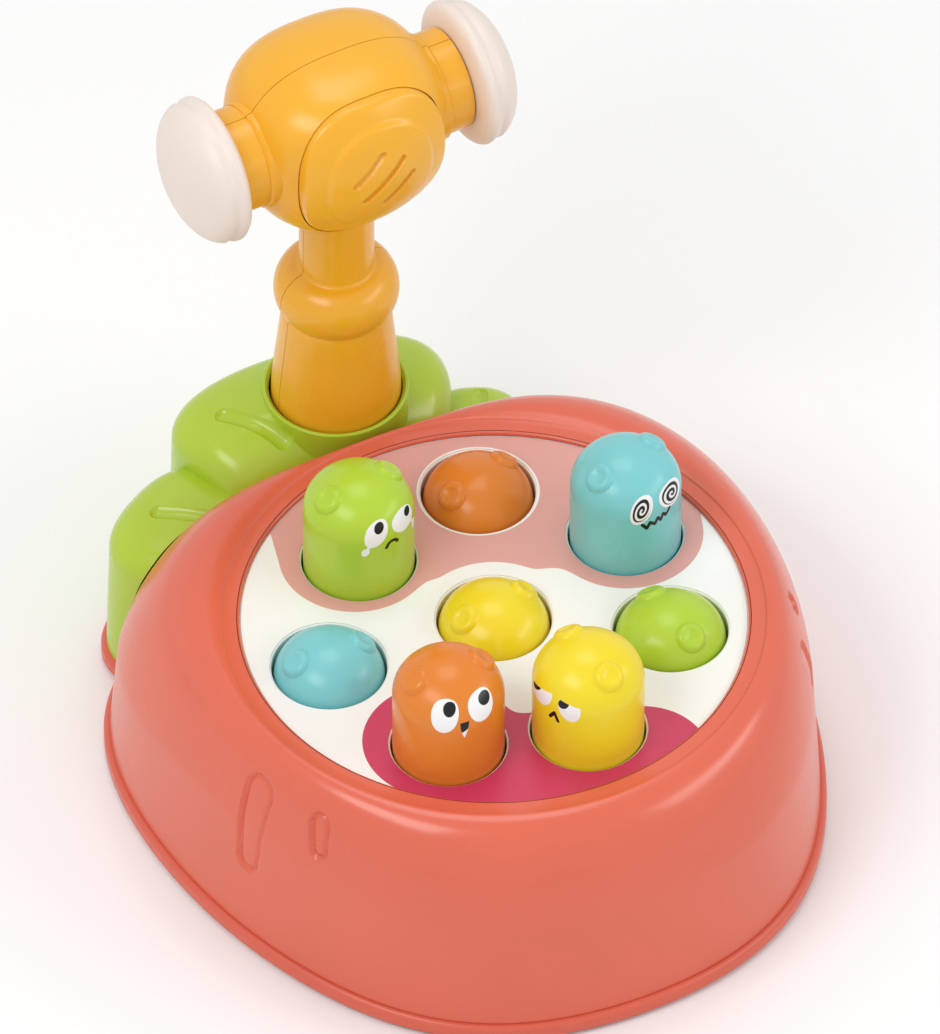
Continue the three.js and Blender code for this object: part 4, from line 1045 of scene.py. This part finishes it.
def make_hammer_shells():
    outside = square_ball("hammer whole", 0)
    joined(outside, handle("handle", 0), cross_bar("arms", ARM_RADIUS, ARM_REACH, ARM_EDGE),
           cross_bar("arm rings", ARM_RING_RADIUS, ARM_RING_REACH, ARM_RING_EDGE))
    inside = square_ball("hammer hollow", -HEAD_WALL, 64, 40)
    joined(inside, handle("handle hollow", HAMMER_WALL),
           cross_bar("arms hollow", ARM_RADIUS - HAMMER_WALL, ARM_REACH - HAMMER_WALL))
    bore = cross_bar("pad bore", PAD_STEM_RADIUS + GAP, ARM_REACH + OVERRUN)
    cut(outside, inside, bore, plate_room())
    skin = square_ball("hammer skin", -SKIN)
    joined(skin, handle("handle skin", SKIN))
    head, shank = SCREW_HEAD_RADIUS + GAP, SCREW_RADIUS + GAP
    bore_end = HAMMER_SCREW_SEAT - HAMMER_SCREW_BORE
    for rise in HAMMER_SCREW_RISES:
        post = through_bar("post", rise, head + HAMMER_POST_WALL, -HAMMER_ROOM, HAMMER_ROOM)
        joined(outside, common(post, copied(skin, "post skin")))
        cut(outside, through_bar("head room", rise, head, HAMMER_SCREW_SEAT, HAMMER_ROOM),
            through_bar("screw bore", rise, shank, bore_end, HAMMER_ROOM))
    bpy.data.objects.remove(skin)
    low, high = HAMMER_ROOM_ENDS
    sides = [("hammer_front", -HAMMER_ROOM, -SEAM / 2), ("hammer_rear", SEAM / 2, HAMMER_ROOM)]
    halves = []
    for name, front, rear in sides:
        half = copied(outside, name)
        common(half, block("half space", (-HAMMER_ROOM, front, low), (HAMMER_ROOM, rear, high)))
        halves.append(softened(placed_on_toy(half), 30, weighted=True))
    bpy.data.objects.remove(outside)
    return halves


def plate_face(x, z):
    """How far in front of the head's middle the plate's domed face lies."""
    fall_aside, fall_along = PLATE_SAG
    return (PLATE_REACH - fall_aside * (x / PLATE_SAG_AT) ** 2
            - fall_along * ((z - PLATE_LIFT) / PLATE_SAG_AT) ** 2)


def plate_back(x, z):
    return plate_face(x, z) - PLATE_SEAT


def slot_press(x, z):
    """How deep the slots are pressed into the plate."""
    slant = math.radians(SLOT_SLANT)
    dx, dz = x - SLOT_MIDDLE[0], z - SLOT_MIDDLE[1]
    press = np.zeros_like(x)
    for up, reach in SLOTS:
        along = dx * math.cos(slant) + dz * math.sin(slant)
        aside = dz * math.cos(slant) - dx * math.sin(slant) - up
        away = np.hypot(np.maximum(np.abs(along) - reach / 2, 0), aside)
        press = np.maximum(press, SLOT_DEPTH * eased((SLOT_HALF_WIDTH - away) / SLOT_EDGE + 0.5))
    return press


def plate_front(x, z):
    """The face with its raised middle and its slots."""
    inner = (np.abs(x / PLATE_INNER_HALF[0]) ** PLATE_INNER_SQUARENESS +
             np.abs((z - PLATE_LIFT) / PLATE_INNER_HALF[1]) ** PLATE_INNER_SQUARENESS)
    step = eased((1 - inner ** (1 / PLATE_INNER_SQUARENESS)) / PLATE_STEP_WIDTH_SHARE + 0.5)
    return plate_face(x, z) + PLATE_STEP * step - slot_press(x, z)


def plate_ring(outline, share, reach):
    """A ring at a share of the plate's outline; reach gives how far forward it lies at x and z."""
    x, z = outline.T * share
    z = z + PLATE_LIFT
    return np.column_stack([x, -reach(x, z), z + HEAD_RISE])


def plate_form(name, outline, front, back):
    """A closed form through (share, reach) rings: the front's from the middle out, then the back's in."""
    rings = [plate_ring(outline, share, reach) for share, reach in front + back]
    middles = [plate_ring(np.zeros((1, 2)), 0, reach) for reach in (front[0][1], back[-1][1])]
    form = loft(name, [middles[0], *rings, middles[1]])
    mesh = bmesh.new()
    mesh.from_mesh(form.data)
    bmesh.ops.recalc_face_normals(mesh, faces=mesh.faces)
    mesh.to_mesh(form.data)
    mesh.free()
    return form


def plate_room():
    """The room that the head leaves for the plate, open to the front."""
    outline = super_ellipse(PLATE_SQUARENESS, 240) * (np.array(PLATE_HALF) + PLATE_GROOVE)
    shares = np.linspace(0, 1, 6)[1:]
    front = [(share, lambda x, z: np.full_like(x, HEAD_HALF[1] + OVERRUN)) for share in shares]
    back = [(share, lambda x, z: plate_back(x, z) - GAP) for share in shares[::-1]]
    return plate_form("plate room", outline, front, back)


def make_face_plate():
    edge = [(1 - PLATE_EDGE_ROUND * (1 - math.sin(a)) / PLATE_HALF[0], PLATE_EDGE_ROUND * (1 - math.cos(a)))
            for a in np.linspace(0, math.pi / 2, 6)]
    loops = math.ceil(PLATE_HALF[0] / PLATE_LOOP_STEP)
    face = [(share, 0) for share in np.linspace(0, edge[0][0], loops)[1:-1]]
    front = [(share, lambda x, z, drop=drop: plate_front(x, z) - drop) for share, drop in face + edge]
    back = [(share, plate_back) for share in (1, 0.75, 0.5, 0.25)]
    plate = plate_form("hammer_plate", super_ellipse(PLATE_SQUARENESS, 320) * PLATE_HALF, front, back)
    return softened(placed_on_toy(plate), 50)


def make_pad(name, side):
    stem = [(0, PAD_STEM_START), (PAD_STEM_RADIUS - PAD_STEM_EDGE, PAD_STEM_START),
            (PAD_STEM_RADIUS, PAD_STEM_START + PAD_STEM_EDGE), (PAD_STEM_RADIUS, PAD_BACK)]
    dome = [(PAD_DOME_RADIUS * math.cos(a) ** PAD_DOME_FULLNESS,
             PAD_DOME_START + PAD_DOME_HEIGHT * math.sin(a) ** PAD_DOME_FULLNESS)
            for a in np.linspace(*np.radians(PAD_DOME_ANGLES), 22)]
    pad = turned(name, [*stem, *PAD_RIM, *dome, (0, PAD_DOME_START + PAD_DOME_HEIGHT)], 128)
    place(pad, turn_about("Y", 90 * side), (0, 0, HEAD_RISE))
    return softened(placed_on_toy(pad), 45)


# Screws

class GeometryTree(NodeTree):
    """A geometry tree that takes a mesh of places and named inputs, and gives a mesh."""

    def __init__(self, name, **inputs):
        self.group = bpy.data.node_groups.new(name, "GeometryNodeTree")
        super().__init__(self.group)
        for label, kind in {"Places": "NodeSocketGeometry", **inputs}.items():
            self.group.interface.new_socket(label.replace("_", " "), in_out="INPUT", socket_type=kind)
        self.group.interface.new_socket("Mesh", in_out="OUTPUT", socket_type="NodeSocketGeometry")
        self.given = {output.name: Term(self, output) for output in self.node("NodeGroupInput").outputs}

    def made(self, kind, settings=None, *values, **named_values):
        return Term(self, self.node(kind, settings, *values, **named_values).outputs[0])

    def vector(self, x, y, z):
        return self.made("ShaderNodeCombineXYZ", {}, x, y, z)

    def moved(self, form, **values):
        return self.made("GeometryNodeTransform", {}, Geometry=form, **values)

    def fused(self, operation, **forms):
        return self.made("GeometryNodeMeshBoolean", {"operation": operation, "solver": "MANIFOLD"}, **forms)


CROSS_LENGTH_SHARE = 1.15
CROSS_WIDTH_SHARE = 0.24
CROSS_DEPTH_SHARE = 0.9
SHANK_SEAT_SHARE = 0.48


def screw_tree():
    """A pan-headed screw with a crossed recess, seated at each place; its head faces up before its turn."""
    tree = GeometryTree("screws", Head_Radius="NodeSocketFloat", Head_Height="NodeSocketFloat",
                        Shank_Radius="NodeSocketFloat", Shank_Length="NodeSocketFloat",
                        Turn="NodeSocketVector", Metal="NodeSocketMaterial")
    radius, height, shank_length = map(tree.given.get, ("Head Radius", "Head Height", "Shank Length"))
    half = height / 2
    rim = tree.moved(tree.made("GeometryNodeMeshCylinder", {}, Vertices=48, Radius=radius, Depth=half),
                     Translation=tree.vector(0, 0, half / 2))
    pan = tree.moved(tree.made("GeometryNodeMeshUVSphere", {}, Segments=48, Rings=24, Radius=1),
                     Scale=tree.vector(radius, radius, half), Translation=tree.vector(0, 0, half))
    shank = tree.made("GeometryNodeMeshCylinder", {}, Vertices=32, Radius=tree.given["Shank Radius"],
                      Depth=shank_length)
    shank = tree.moved(shank, Translation=tree.vector(0, 0, shank_length * -SHANK_SEAT_SHARE))
    long, short, deep = radius * CROSS_LENGTH_SHARE, radius * CROSS_WIDTH_SHARE, height * CROSS_DEPTH_SHARE
    bars = [tree.made("GeometryNodeMeshCube", {}, Size=tree.vector(*size))
            for size in ((long, short, deep), (short, long, deep))]
    bars = [tree.moved(bar, Translation=tree.vector(0, 0, height)) for bar in bars]
    screw = tree.fused("DIFFERENCE", Mesh_1=tree.fused("UNION", Mesh=[rim, pan, shank]),
                       Mesh_2=tree.fused("UNION", Mesh=bars))
    screws = tree.made("GeometryNodeInstanceOnPoints", {}, Points=tree.given["Places"],
                       Instance=tree.moved(screw, Rotation=tree.given["Turn"]))
    real = tree.made("GeometryNodeRealizeInstances", {}, Geometry=screws)
    tree.node("NodeGroupOutput", {}, tree.made("GeometryNodeSetMaterial", {}, Geometry=real,
                                               Material=tree.given["Metal"]))
    return tree.group


def make_screws(name, group, places, turn, shank_length, metal):
    """One mesh of screws, with their seats at places on the toy's own axes."""
    screws = mesh_piece(name, places, [])
    step = screws.modifiers.new("screws", "NODES")
    step.node_group = group
    keys = {item.name: item.identifier for item in group.interface.items_tree if item.in_out == "INPUT"}
    for label, value in (("Head Radius", SCREW_HEAD_RADIUS * MM), ("Head Height", SCREW_HEAD * MM),
                         ("Shank Radius", SCREW_RADIUS * MM), ("Shank Length", shank_length * MM),
                         ("Turn", turn), ("Metal", metal.material)):
        step[keys[label]] = value
    return softened(bake(screws), 30)


def make_base_screws(group, metal):
    seats = [(x, y, FOOT_PROUD + SCREW_HEAD + SCREW_SINK) for x, y in base_screws]
    return make_screws("base_screws", group, seats, (math.pi, 0, 0), BASE_SCREW_LENGTH, metal)


def make_hammer_screws(group, metal):
    seats = [(0, HAMMER_SCREW_SEAT, rise) for rise in HAMMER_SCREW_RISES]
    screws = make_screws("hammer_screws", group, seats, (-math.pi / 2, 0, 0), HAMMER_SCREW_LENGTH, metal)
    return placed_on_toy(screws)


# Finishes

coral = moulded("coral plastic", (219, 101, 76), 0.22)
base_coral = moulded("base coral plastic", (214, 94, 71), 0.32)
leaf_green = moulded("leaf green plastic", (172, 200, 48), 0.22)
board_white = moulded("board white plastic", (236, 235, 230), 0.4)
inner_white = moulded("inner white plastic", (226, 224, 216), 0.5)
amber = moulded("amber plastic", (236, 171, 36), 0.26)
pad_cream = moulded("soft cream pad", (230, 216, 206), 0.42, grain=0.02)
foot_rubber = moulded("foot rubber", (84, 82, 78), 0.8, grain=0.05)
steel = moulded("axle steel", (186, 189, 193), 0.35, Metallic=1)


PINK = (219, 160, 151)
PINK_BARS = [((-25.2, 39.2), (-20, 60), 21.8), ((48.9, 14), (56, 35), 22.3)]
PINK_BAR_BLEND = 5
MAGENTA = (198, 52, 92)
MAGENTA_ROUNDS = [((-34.5, -36.8), 22.6), ((14.5, -66.5), 18.8)]
MAGENTA_ROUND_BLEND = 7

# Each area's sloping edge: a point, the slope in degrees, the half length, and how far on it lies
PINK_STRIP = ((12.15, 26.05), -18.5, 37, 11)
MAGENTA_STRIP = ((-12, -44), 161, 28, 7.32)
STRIP_BLEND = 6
MIDDLE_MARGIN = 22.2
MIDDLE_MARGIN_BLEND = 2
ORANGE_MARGIN = 17.75


def printed_finish():
    """The sheet's print: a pale pink area behind and a magenta one in front, on white."""
    finish = moulded("printed sheet", (240, 239, 234), 0.3)
    x, y = finish.x, finish.y

    def round_patch(middle, radius):
        return length(x - middle[0], y - middle[1]) - radius

    def bar_patch(start, end, radius):
        span = Vector(end) - Vector(start)
        dx, dy = span.normalized()
        along = (x - start[0]) * dx + (y - start[1]) * dy
        aside = (y - start[1]) * dx - (x - start[0]) * dy
        return length(along - along.most(0).least(span.length), aside) - radius

    def strip_patch(point, slope, half, onward):
        dx, dy = math.cos(math.radians(slope)), math.sin(math.radians(slope))
        along = (x - point[0]) * dx + (y - point[1]) * dy
        beyond = (x - point[0]) * dy - (y - point[1]) * dx
        return (abs(along) - half).most(beyond - onward)

    pink = bar_patch(*PINK_BARS[0]).least(bar_patch(*PINK_BARS[1]), PINK_BAR_BLEND)
    pink = pink.least(strip_patch(*PINK_STRIP), STRIP_BLEND)
    pink = pink.most(-round_patch((0, 0), MIDDLE_MARGIN), MIDDLE_MARGIN_BLEND)
    magenta = round_patch(*MAGENTA_ROUNDS[0]).least(round_patch(*MAGENTA_ROUNDS[1]), MAGENTA_ROUND_BLEND)
    magenta = magenta.least(strip_patch(*MAGENTA_STRIP), STRIP_BLEND)
    orange_hole = next(place[2:4] for place in places_of_moles if place[:2] == ("a", "orange"))
    margin = round_patch(orange_hole, ORANGE_MARGIN).inside()
    colour = finish.mix(pink.inside() * (1 - margin), finish.cloudy, linear(PINK))
    finish.paint(finish.mix(magenta.inside(), colour, linear(MAGENTA)))
    return finish


# Faces of the moles, drawn on the wall of a mole: s runs to the right round it, h up from the panel.
# Over the dome, lengths are kept true about the point that each shape is drawn from.

INK = (0.004, 0.004, 0.004)
EYE_WHITE = (0.86, 0.86, 0.86)
MOUTH_HALF_WIDTH = 0.57
TRAIL_HALF_WIDTH = 0.5

# Ovals: the middle, half the length and half the width, and the slope of the length in degrees
GREEN_EYES = [(-3.7, 24.6, 4.75, 3.15, 54), (7.1, 24.4, 5.05, 3.4, -3)]
GREEN_PUPILS = [(-2.6, 26.1, 1.85, 1.4, 55), (9.7, 25.3, 1.7, 1.2, 10)]
GREEN_TEARS = [(-7.3, 18.7, 1.55, 1.15, 70), (12.3, 18.4, 1.9, 1.5, 100)]
GREEN_TEAR_TRAILS = [[(-6.8, 19.7), (-5.6, 21.6)], [(11.9, 19.2), (10.2, 21.6)]]
GREEN_MOUTH = [(-0.9, 18.7), (-0.2, 20.0), (0.9, 20.6), (2.1, 20.3), (3.0, 19.3)]
BLUE_EYES = [(-7.3, 24.2, 5.0, 3.1, 62), (4.5, 24.5, 5.35, 3.65, -3)]
BLUE_SPIRALS = [(-7.3, 24.2, 4.8, 2.95, 62), (4.5, 24.5, 5.15, 3.5, -3)]
SPIRAL_TURNS = 2.4
SPIRAL_GAP_SHARE = 0.29
SPIRAL_REACH_SHARE = 0.84
BLUE_MOUTH = [(-7.4, 19.1), (-6, 17.3), (-5, 19.3), (-3.4, 18), (-2.5, 20), (-1.3, 18.5), (-0.6, 20.5),
              (0.6, 19.3), (2.1, 20.9)]
ORANGE_EYES = [(-7.7, 26.2, 5.3, 3.95, 83), (5.2, 26.8, 4.95, 4.1, 44)]
ORANGE_PUPILS = [(-6.2, 27.8, 2.15, 1.8, 77), (7.3, 27.8, 2.3, 1.8, 19)]
ORANGE_MOUTH = [(-3.1, 23.8), (-3.0, 21.6), (-1.9, 18.5), (-0.7, 22.1), (-0.3, 24.1)]
ORANGE_TOOTH = [(-2.75, 20.3), (-1.9, 18.3), (-0.75, 21.6)]
YELLOW_EYES = [(-1.3, 23.2, 5.1, 4.1, 12), (10.0, 22.9, 4.6, 3.3, 105)]
YELLOW_PUPILS = [(-3.75, 23.4, 2.7, 1.5, 30), (8.1, 24.1, 1.8, 1.5, 45)]
YELLOW_LIDS = [(-2, 23.9, 16), (9.6, 24.45, -11)]
YELLOW_MOUTH = [(3.8, 17.2), (5.4, 19.6), (6.6, 16.8)]


def all_of(shapes):
    """The area that any of some shapes covers."""
    first, *others = shapes
    for other in others:
        first = first.least(other)
    return first


class Face:
    """Shapes on the wall of a mole, each the distance outside its edge, and the colours that fill them."""

    def __init__(self, finish):
        self.finish = finish
        self.h = finish.z
        self.turn = finish.y.math("ARCTAN2", finish.x)
        self.radius = length(finish.x, finish.y)
        self.colour = finish.cloudy

    def tilted(self, s, h, degrees):
        """Distances along and across a direction from a point."""
        c, d = math.cos(math.radians(degrees)), math.sin(math.radians(degrees))
        ds = (self.turn - s / MOLE_RADIUS) * self.radius
        dh = (self.h - h) * (MOLE_RADIUS / self.radius)
        return ds * c + dh * d, dh * c - ds * d

    def oval(self, s, h, half_along, half_across, degrees=0):
        along, across = self.tilted(s, h, degrees)
        return (length(along / half_along, across / half_across) - 1) * min(half_along, half_across)

    def above(self, s, h, degrees):
        """Distance above a line through a point."""
        return self.tilted(s, h, degrees)[1]

    def stroke(self, start, end, half_width):
        span = math.hypot(end[0] - start[0], end[1] - start[1])
        slope = math.degrees(math.atan2(end[1] - start[1], end[0] - start[0]))
        along, across = self.tilted(*start, slope)
        return length(along - along.most(0).least(span), across) - half_width

    def strokes(self, points, half_width):
        return all_of(self.stroke(a, b, half_width) for a, b in zip(points, points[1:]))

    def patch(self, corners):
        """The area inside corners given anticlockwise."""
        inside = None
        for (s1, h1), (s2, h2) in zip(corners, corners[1:] + corners[:1]):
            edge = -self.above(s1, h1, math.degrees(math.atan2(h2 - h1, s2 - s1)))
            inside = inside.most(edge) if inside else edge
        return inside

    def fill(self, shape, colour):
        self.colour = self.finish.mix(shape.inside(), self.colour, colour)
        self.finish.paint(self.colour)


def green_face(face):
    tears = all_of(face.oval(*tear) for tear in GREEN_TEARS)
    trails = all_of(face.strokes(trail, TRAIL_HALF_WIDTH) for trail in GREEN_TEAR_TRAILS)
    face.fill(all_of([*(face.oval(*eye) for eye in GREEN_EYES), tears, trails]), EYE_WHITE)
    face.fill(all_of(face.oval(*pupil) for pupil in GREEN_PUPILS), INK)
    face.fill(face.strokes(GREEN_MOUTH, MOUTH_HALF_WIDTH), INK)


def spiral(face, s, h, half_along, half_across, degrees):
    along, across = face.tilted(s, h, degrees)
    reach = length(along / half_along, across / half_across)
    turn = (across / half_across).math("ARCTAN2", along / half_along) / (2 * math.pi)
    wave = (reach * SPIRAL_TURNS - turn).math("FRACT") - 0.5
    line = (abs(wave) - SPIRAL_GAP_SHARE) * (half_across / SPIRAL_TURNS)
    return line.most((reach - SPIRAL_REACH_SHARE) * half_across)


def blue_face(face):
    face.fill(all_of(face.oval(*eye) for eye in BLUE_EYES), EYE_WHITE)
    face.fill(all_of(spiral(face, *line) for line in BLUE_SPIRALS), INK)
    face.fill(face.strokes(BLUE_MOUTH, MOUTH_HALF_WIDTH), INK)


def orange_face(face):
    face.fill(all_of(face.oval(*eye) for eye in ORANGE_EYES), EYE_WHITE)
    face.fill(all_of([*(face.oval(*pupil) for pupil in ORANGE_PUPILS), face.patch(ORANGE_MOUTH)]), INK)
    face.fill(face.patch(ORANGE_TOOTH), EYE_WHITE)


def yellow_face(face):
    lids = [face.above(*lid) for lid in YELLOW_LIDS]
    for shapes, colour in ((YELLOW_EYES, EYE_WHITE), (YELLOW_PUPILS, INK)):
        face.fill(all_of(face.oval(*shape).most(lid) for shape, lid in zip(shapes, lids)), colour)
    face.fill(face.strokes(YELLOW_MOUTH, MOUTH_HALF_WIDTH), INK)


MOLE_LOOKS = {
    "orange": ((222, 128, 44), orange_face),
    "blue": ((122, 198, 202), blue_face),
    "green": ((174, 205, 56), green_face),
    "yellow": ((236, 212, 38), yellow_face),
}
MOLE_SHEEN = 0.35
LOWERED_FACE_DROP = 11


def mole_finish(unit, colour, x, y, heading, drop):
    """A mole's plastic with its face, which looks square away from the line of its ears. On a mole that
    starts lowered the face is printed further down, so that it hides in the hole."""
    tint, draw = MOLE_LOOKS[colour]
    facing = EAR_TURN + (90 if unit == "d" else -90)
    panel_on_mole = SHEET_TOP - drop - (LOWERED_FACE_DROP if drop else 0)
    finish = moulded(f"mole {unit} {colour} plastic", tint, 0.26, origin=(x, y, panel_on_mole),
                     turn=heading + facing, Specular_IOR_Level=MOLE_SHEEN)
    draw(Face(finish))
    return finish


# Pieces

finished(make_body(), "housing", ["body_shell"], coral)
finished(make_base(), "housing", ["base_plate"], base_coral)
finished(make_leaves(), "housing", ["leaf_cover"], leaf_green)
finished(make_panel(), "housing", ["game_panel"], board_white)
finished(make_sheet(), "housing", ["printed_sheet"], printed_finish())
for number, (x, y) in enumerate(foot_places, 1):
    foot = make_foot(f"foot_{number}", x, y)
    finished(foot, "housing", [f"rubber_foot_{number}"], foot_rubber)
for unit, colour, x, y, heading, drop in places_of_moles:
    mole = make_mole(f"mole_{unit}_{colour}", x, y, heading, drop)
    finished(mole, f"mole_{unit}_{colour}", [f"mole_cap_{unit}_{colour}"],
             mole_finish(unit, colour, x, y, heading, drop))
for half, node in zip(make_hammer_shells(), ("hammer_front_shell", "hammer_rear_shell")):
    finished(half, "hammer", [node], amber)
finished(make_face_plate(), "hammer", ["hammer_face_plate"], amber)
for name, side in (("left", -1), ("right", 1)):
    finished(make_pad(f"pad_{name}", side), "hammer", [f"hammer_pad_{name}"], pad_cream)
screws = screw_tree()
for make, body in ((make_base_screws, "housing"), (make_hammer_screws, "hammer")):
    piece = make(screws, steel)
    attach(piece, body)
for name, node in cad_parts.items():
    if name.startswith(("mole_plunger", "rocker")):
        node.data.materials.clear()
        node.data.materials.append((steel if name.startswith("rocker_axle") else inner_white).material)


# Floor, light and camera

FLOOR_SIZE = 30
FLOOR_CLOUD_SIZE = 300
FLOOR_CLOUD_SHARE = 0.005
AMBIENT = 0.68
LIGHT_AIM = (0, 0, 0.08)


def studio_floor():
    bpy.ops.mesh.primitive_plane_add(size=FLOOR_SIZE)
    floor = bpy.context.object
    floor.name = "floor"
    finish = Finish("pale floor", (247, 247, 247), 0.9)
    finish.paint(finish.mix(finish.noise(FLOOR_CLOUD_SIZE), *either_side(finish.colour, FLOOR_CLOUD_SHARE)))
    floor.data.materials.append(finish.material)


def soft_box(name, azimuth, elevation, distance, size, power):
    """An area light that faces the toy, in degrees, metres and watts; azimuth is measured from +X."""
    lamp = bpy.data.lights.new(name, "AREA")
    lamp.shape = "RECTANGLE"
    lamp.size, lamp.size_y = size
    lamp.energy = power
    light = bpy.data.objects.new(name, lamp)
    turn, rise = math.radians(azimuth), math.radians(elevation)
    away = Vector((math.cos(rise) * math.cos(turn), math.cos(rise) * math.sin(turn), math.sin(rise)))
    light.location = Vector(LIGHT_AIM) + away * distance
    light.rotation_euler = away.to_track_quat("Z", "Y").to_euler()
    bpy.context.scene.collection.objects.link(light)


def studio_world():
    """White where the camera sees it, itself or in a gloss or a clear piece, and soft light all round."""
    world = bpy.data.worlds.new("studio")
    bpy.context.scene.world = world
    world.use_nodes = True
    world.node_tree.nodes.clear()
    tree = NodeTree(world.node_tree)
    rays = tree.node("ShaderNodeLightPath").outputs
    seen, glossy, through = (Term(tree, rays[f"Is {kind} Ray"])
                             for kind in ("Camera", "Glossy", "Transmission"))
    ambient = tree.node("ShaderNodeBackground", {}, (1, 1, 1, 1), AMBIENT)
    white = tree.node("ShaderNodeBackground", {}, (1, 1, 1, 1), 1)
    direct = seen.most(glossy).most(through)
    mix = tree.node("ShaderNodeMixShader", {}, direct, ambient.outputs[0], white.outputs[0])
    tree.node("ShaderNodeOutputWorld", {}, mix.outputs[0])


# The camera's turn is from the front towards the left, in degrees, and its aim is how far right of and above
# the middle of the printed sheet the picture's middle lies
CAMERA_TURN = 26
CAMERA_ELEVATION = 46.05
CAMERA_AIM = (-6.857, 28.86)
CAMERA_LENS = 700
SENSOR_WIDTH = 36
FRAME_HEIGHT = 295.4


def make_camera():
    data = bpy.data.cameras.new("camera")
    data.lens = CAMERA_LENS
    data.sensor_width = SENSOR_WIDTH
    data.clip_end = 100
    camera = bpy.data.objects.new("camera", data)
    bpy.context.scene.collection.objects.link(camera)
    turn, rise = math.radians(CAMERA_TURN), math.radians(CAMERA_ELEVATION)
    right = Vector((math.cos(turn), -math.sin(turn), 0))
    up = Vector((math.sin(rise) * math.sin(turn), math.sin(rise) * math.cos(turn), math.cos(rise)))
    back = right.cross(up)
    aim = Vector((0, 0, SHEET_TOP)) + right * CAMERA_AIM[0] + up * CAMERA_AIM[1]
    away = FRAME_HEIGHT * CAMERA_LENS / SENSOR_WIDTH
    spin = Matrix((right, up, back)).transposed().to_4x4()
    middle = Vector((PANEL_CENTRE.x, PANEL_CENTRE.y, 0))
    camera.matrix_world = Matrix.Translation(middle + (aim + back * away) * MM) @ spin
    bpy.context.scene.camera = camera


studio_floor()
studio_world()
soft_box("key light", -160, 50, 1.1, (0.6, 0.4), 3.7)
soft_box("fill light", -36, 28, 1.2, (0.95, 0.22), 2.9)
soft_box("top light", 70, 74, 1.1, (0.5, 0.5), 2.1)
make_camera()

bpy.context.scene.view_settings.view_transform = "Standard"
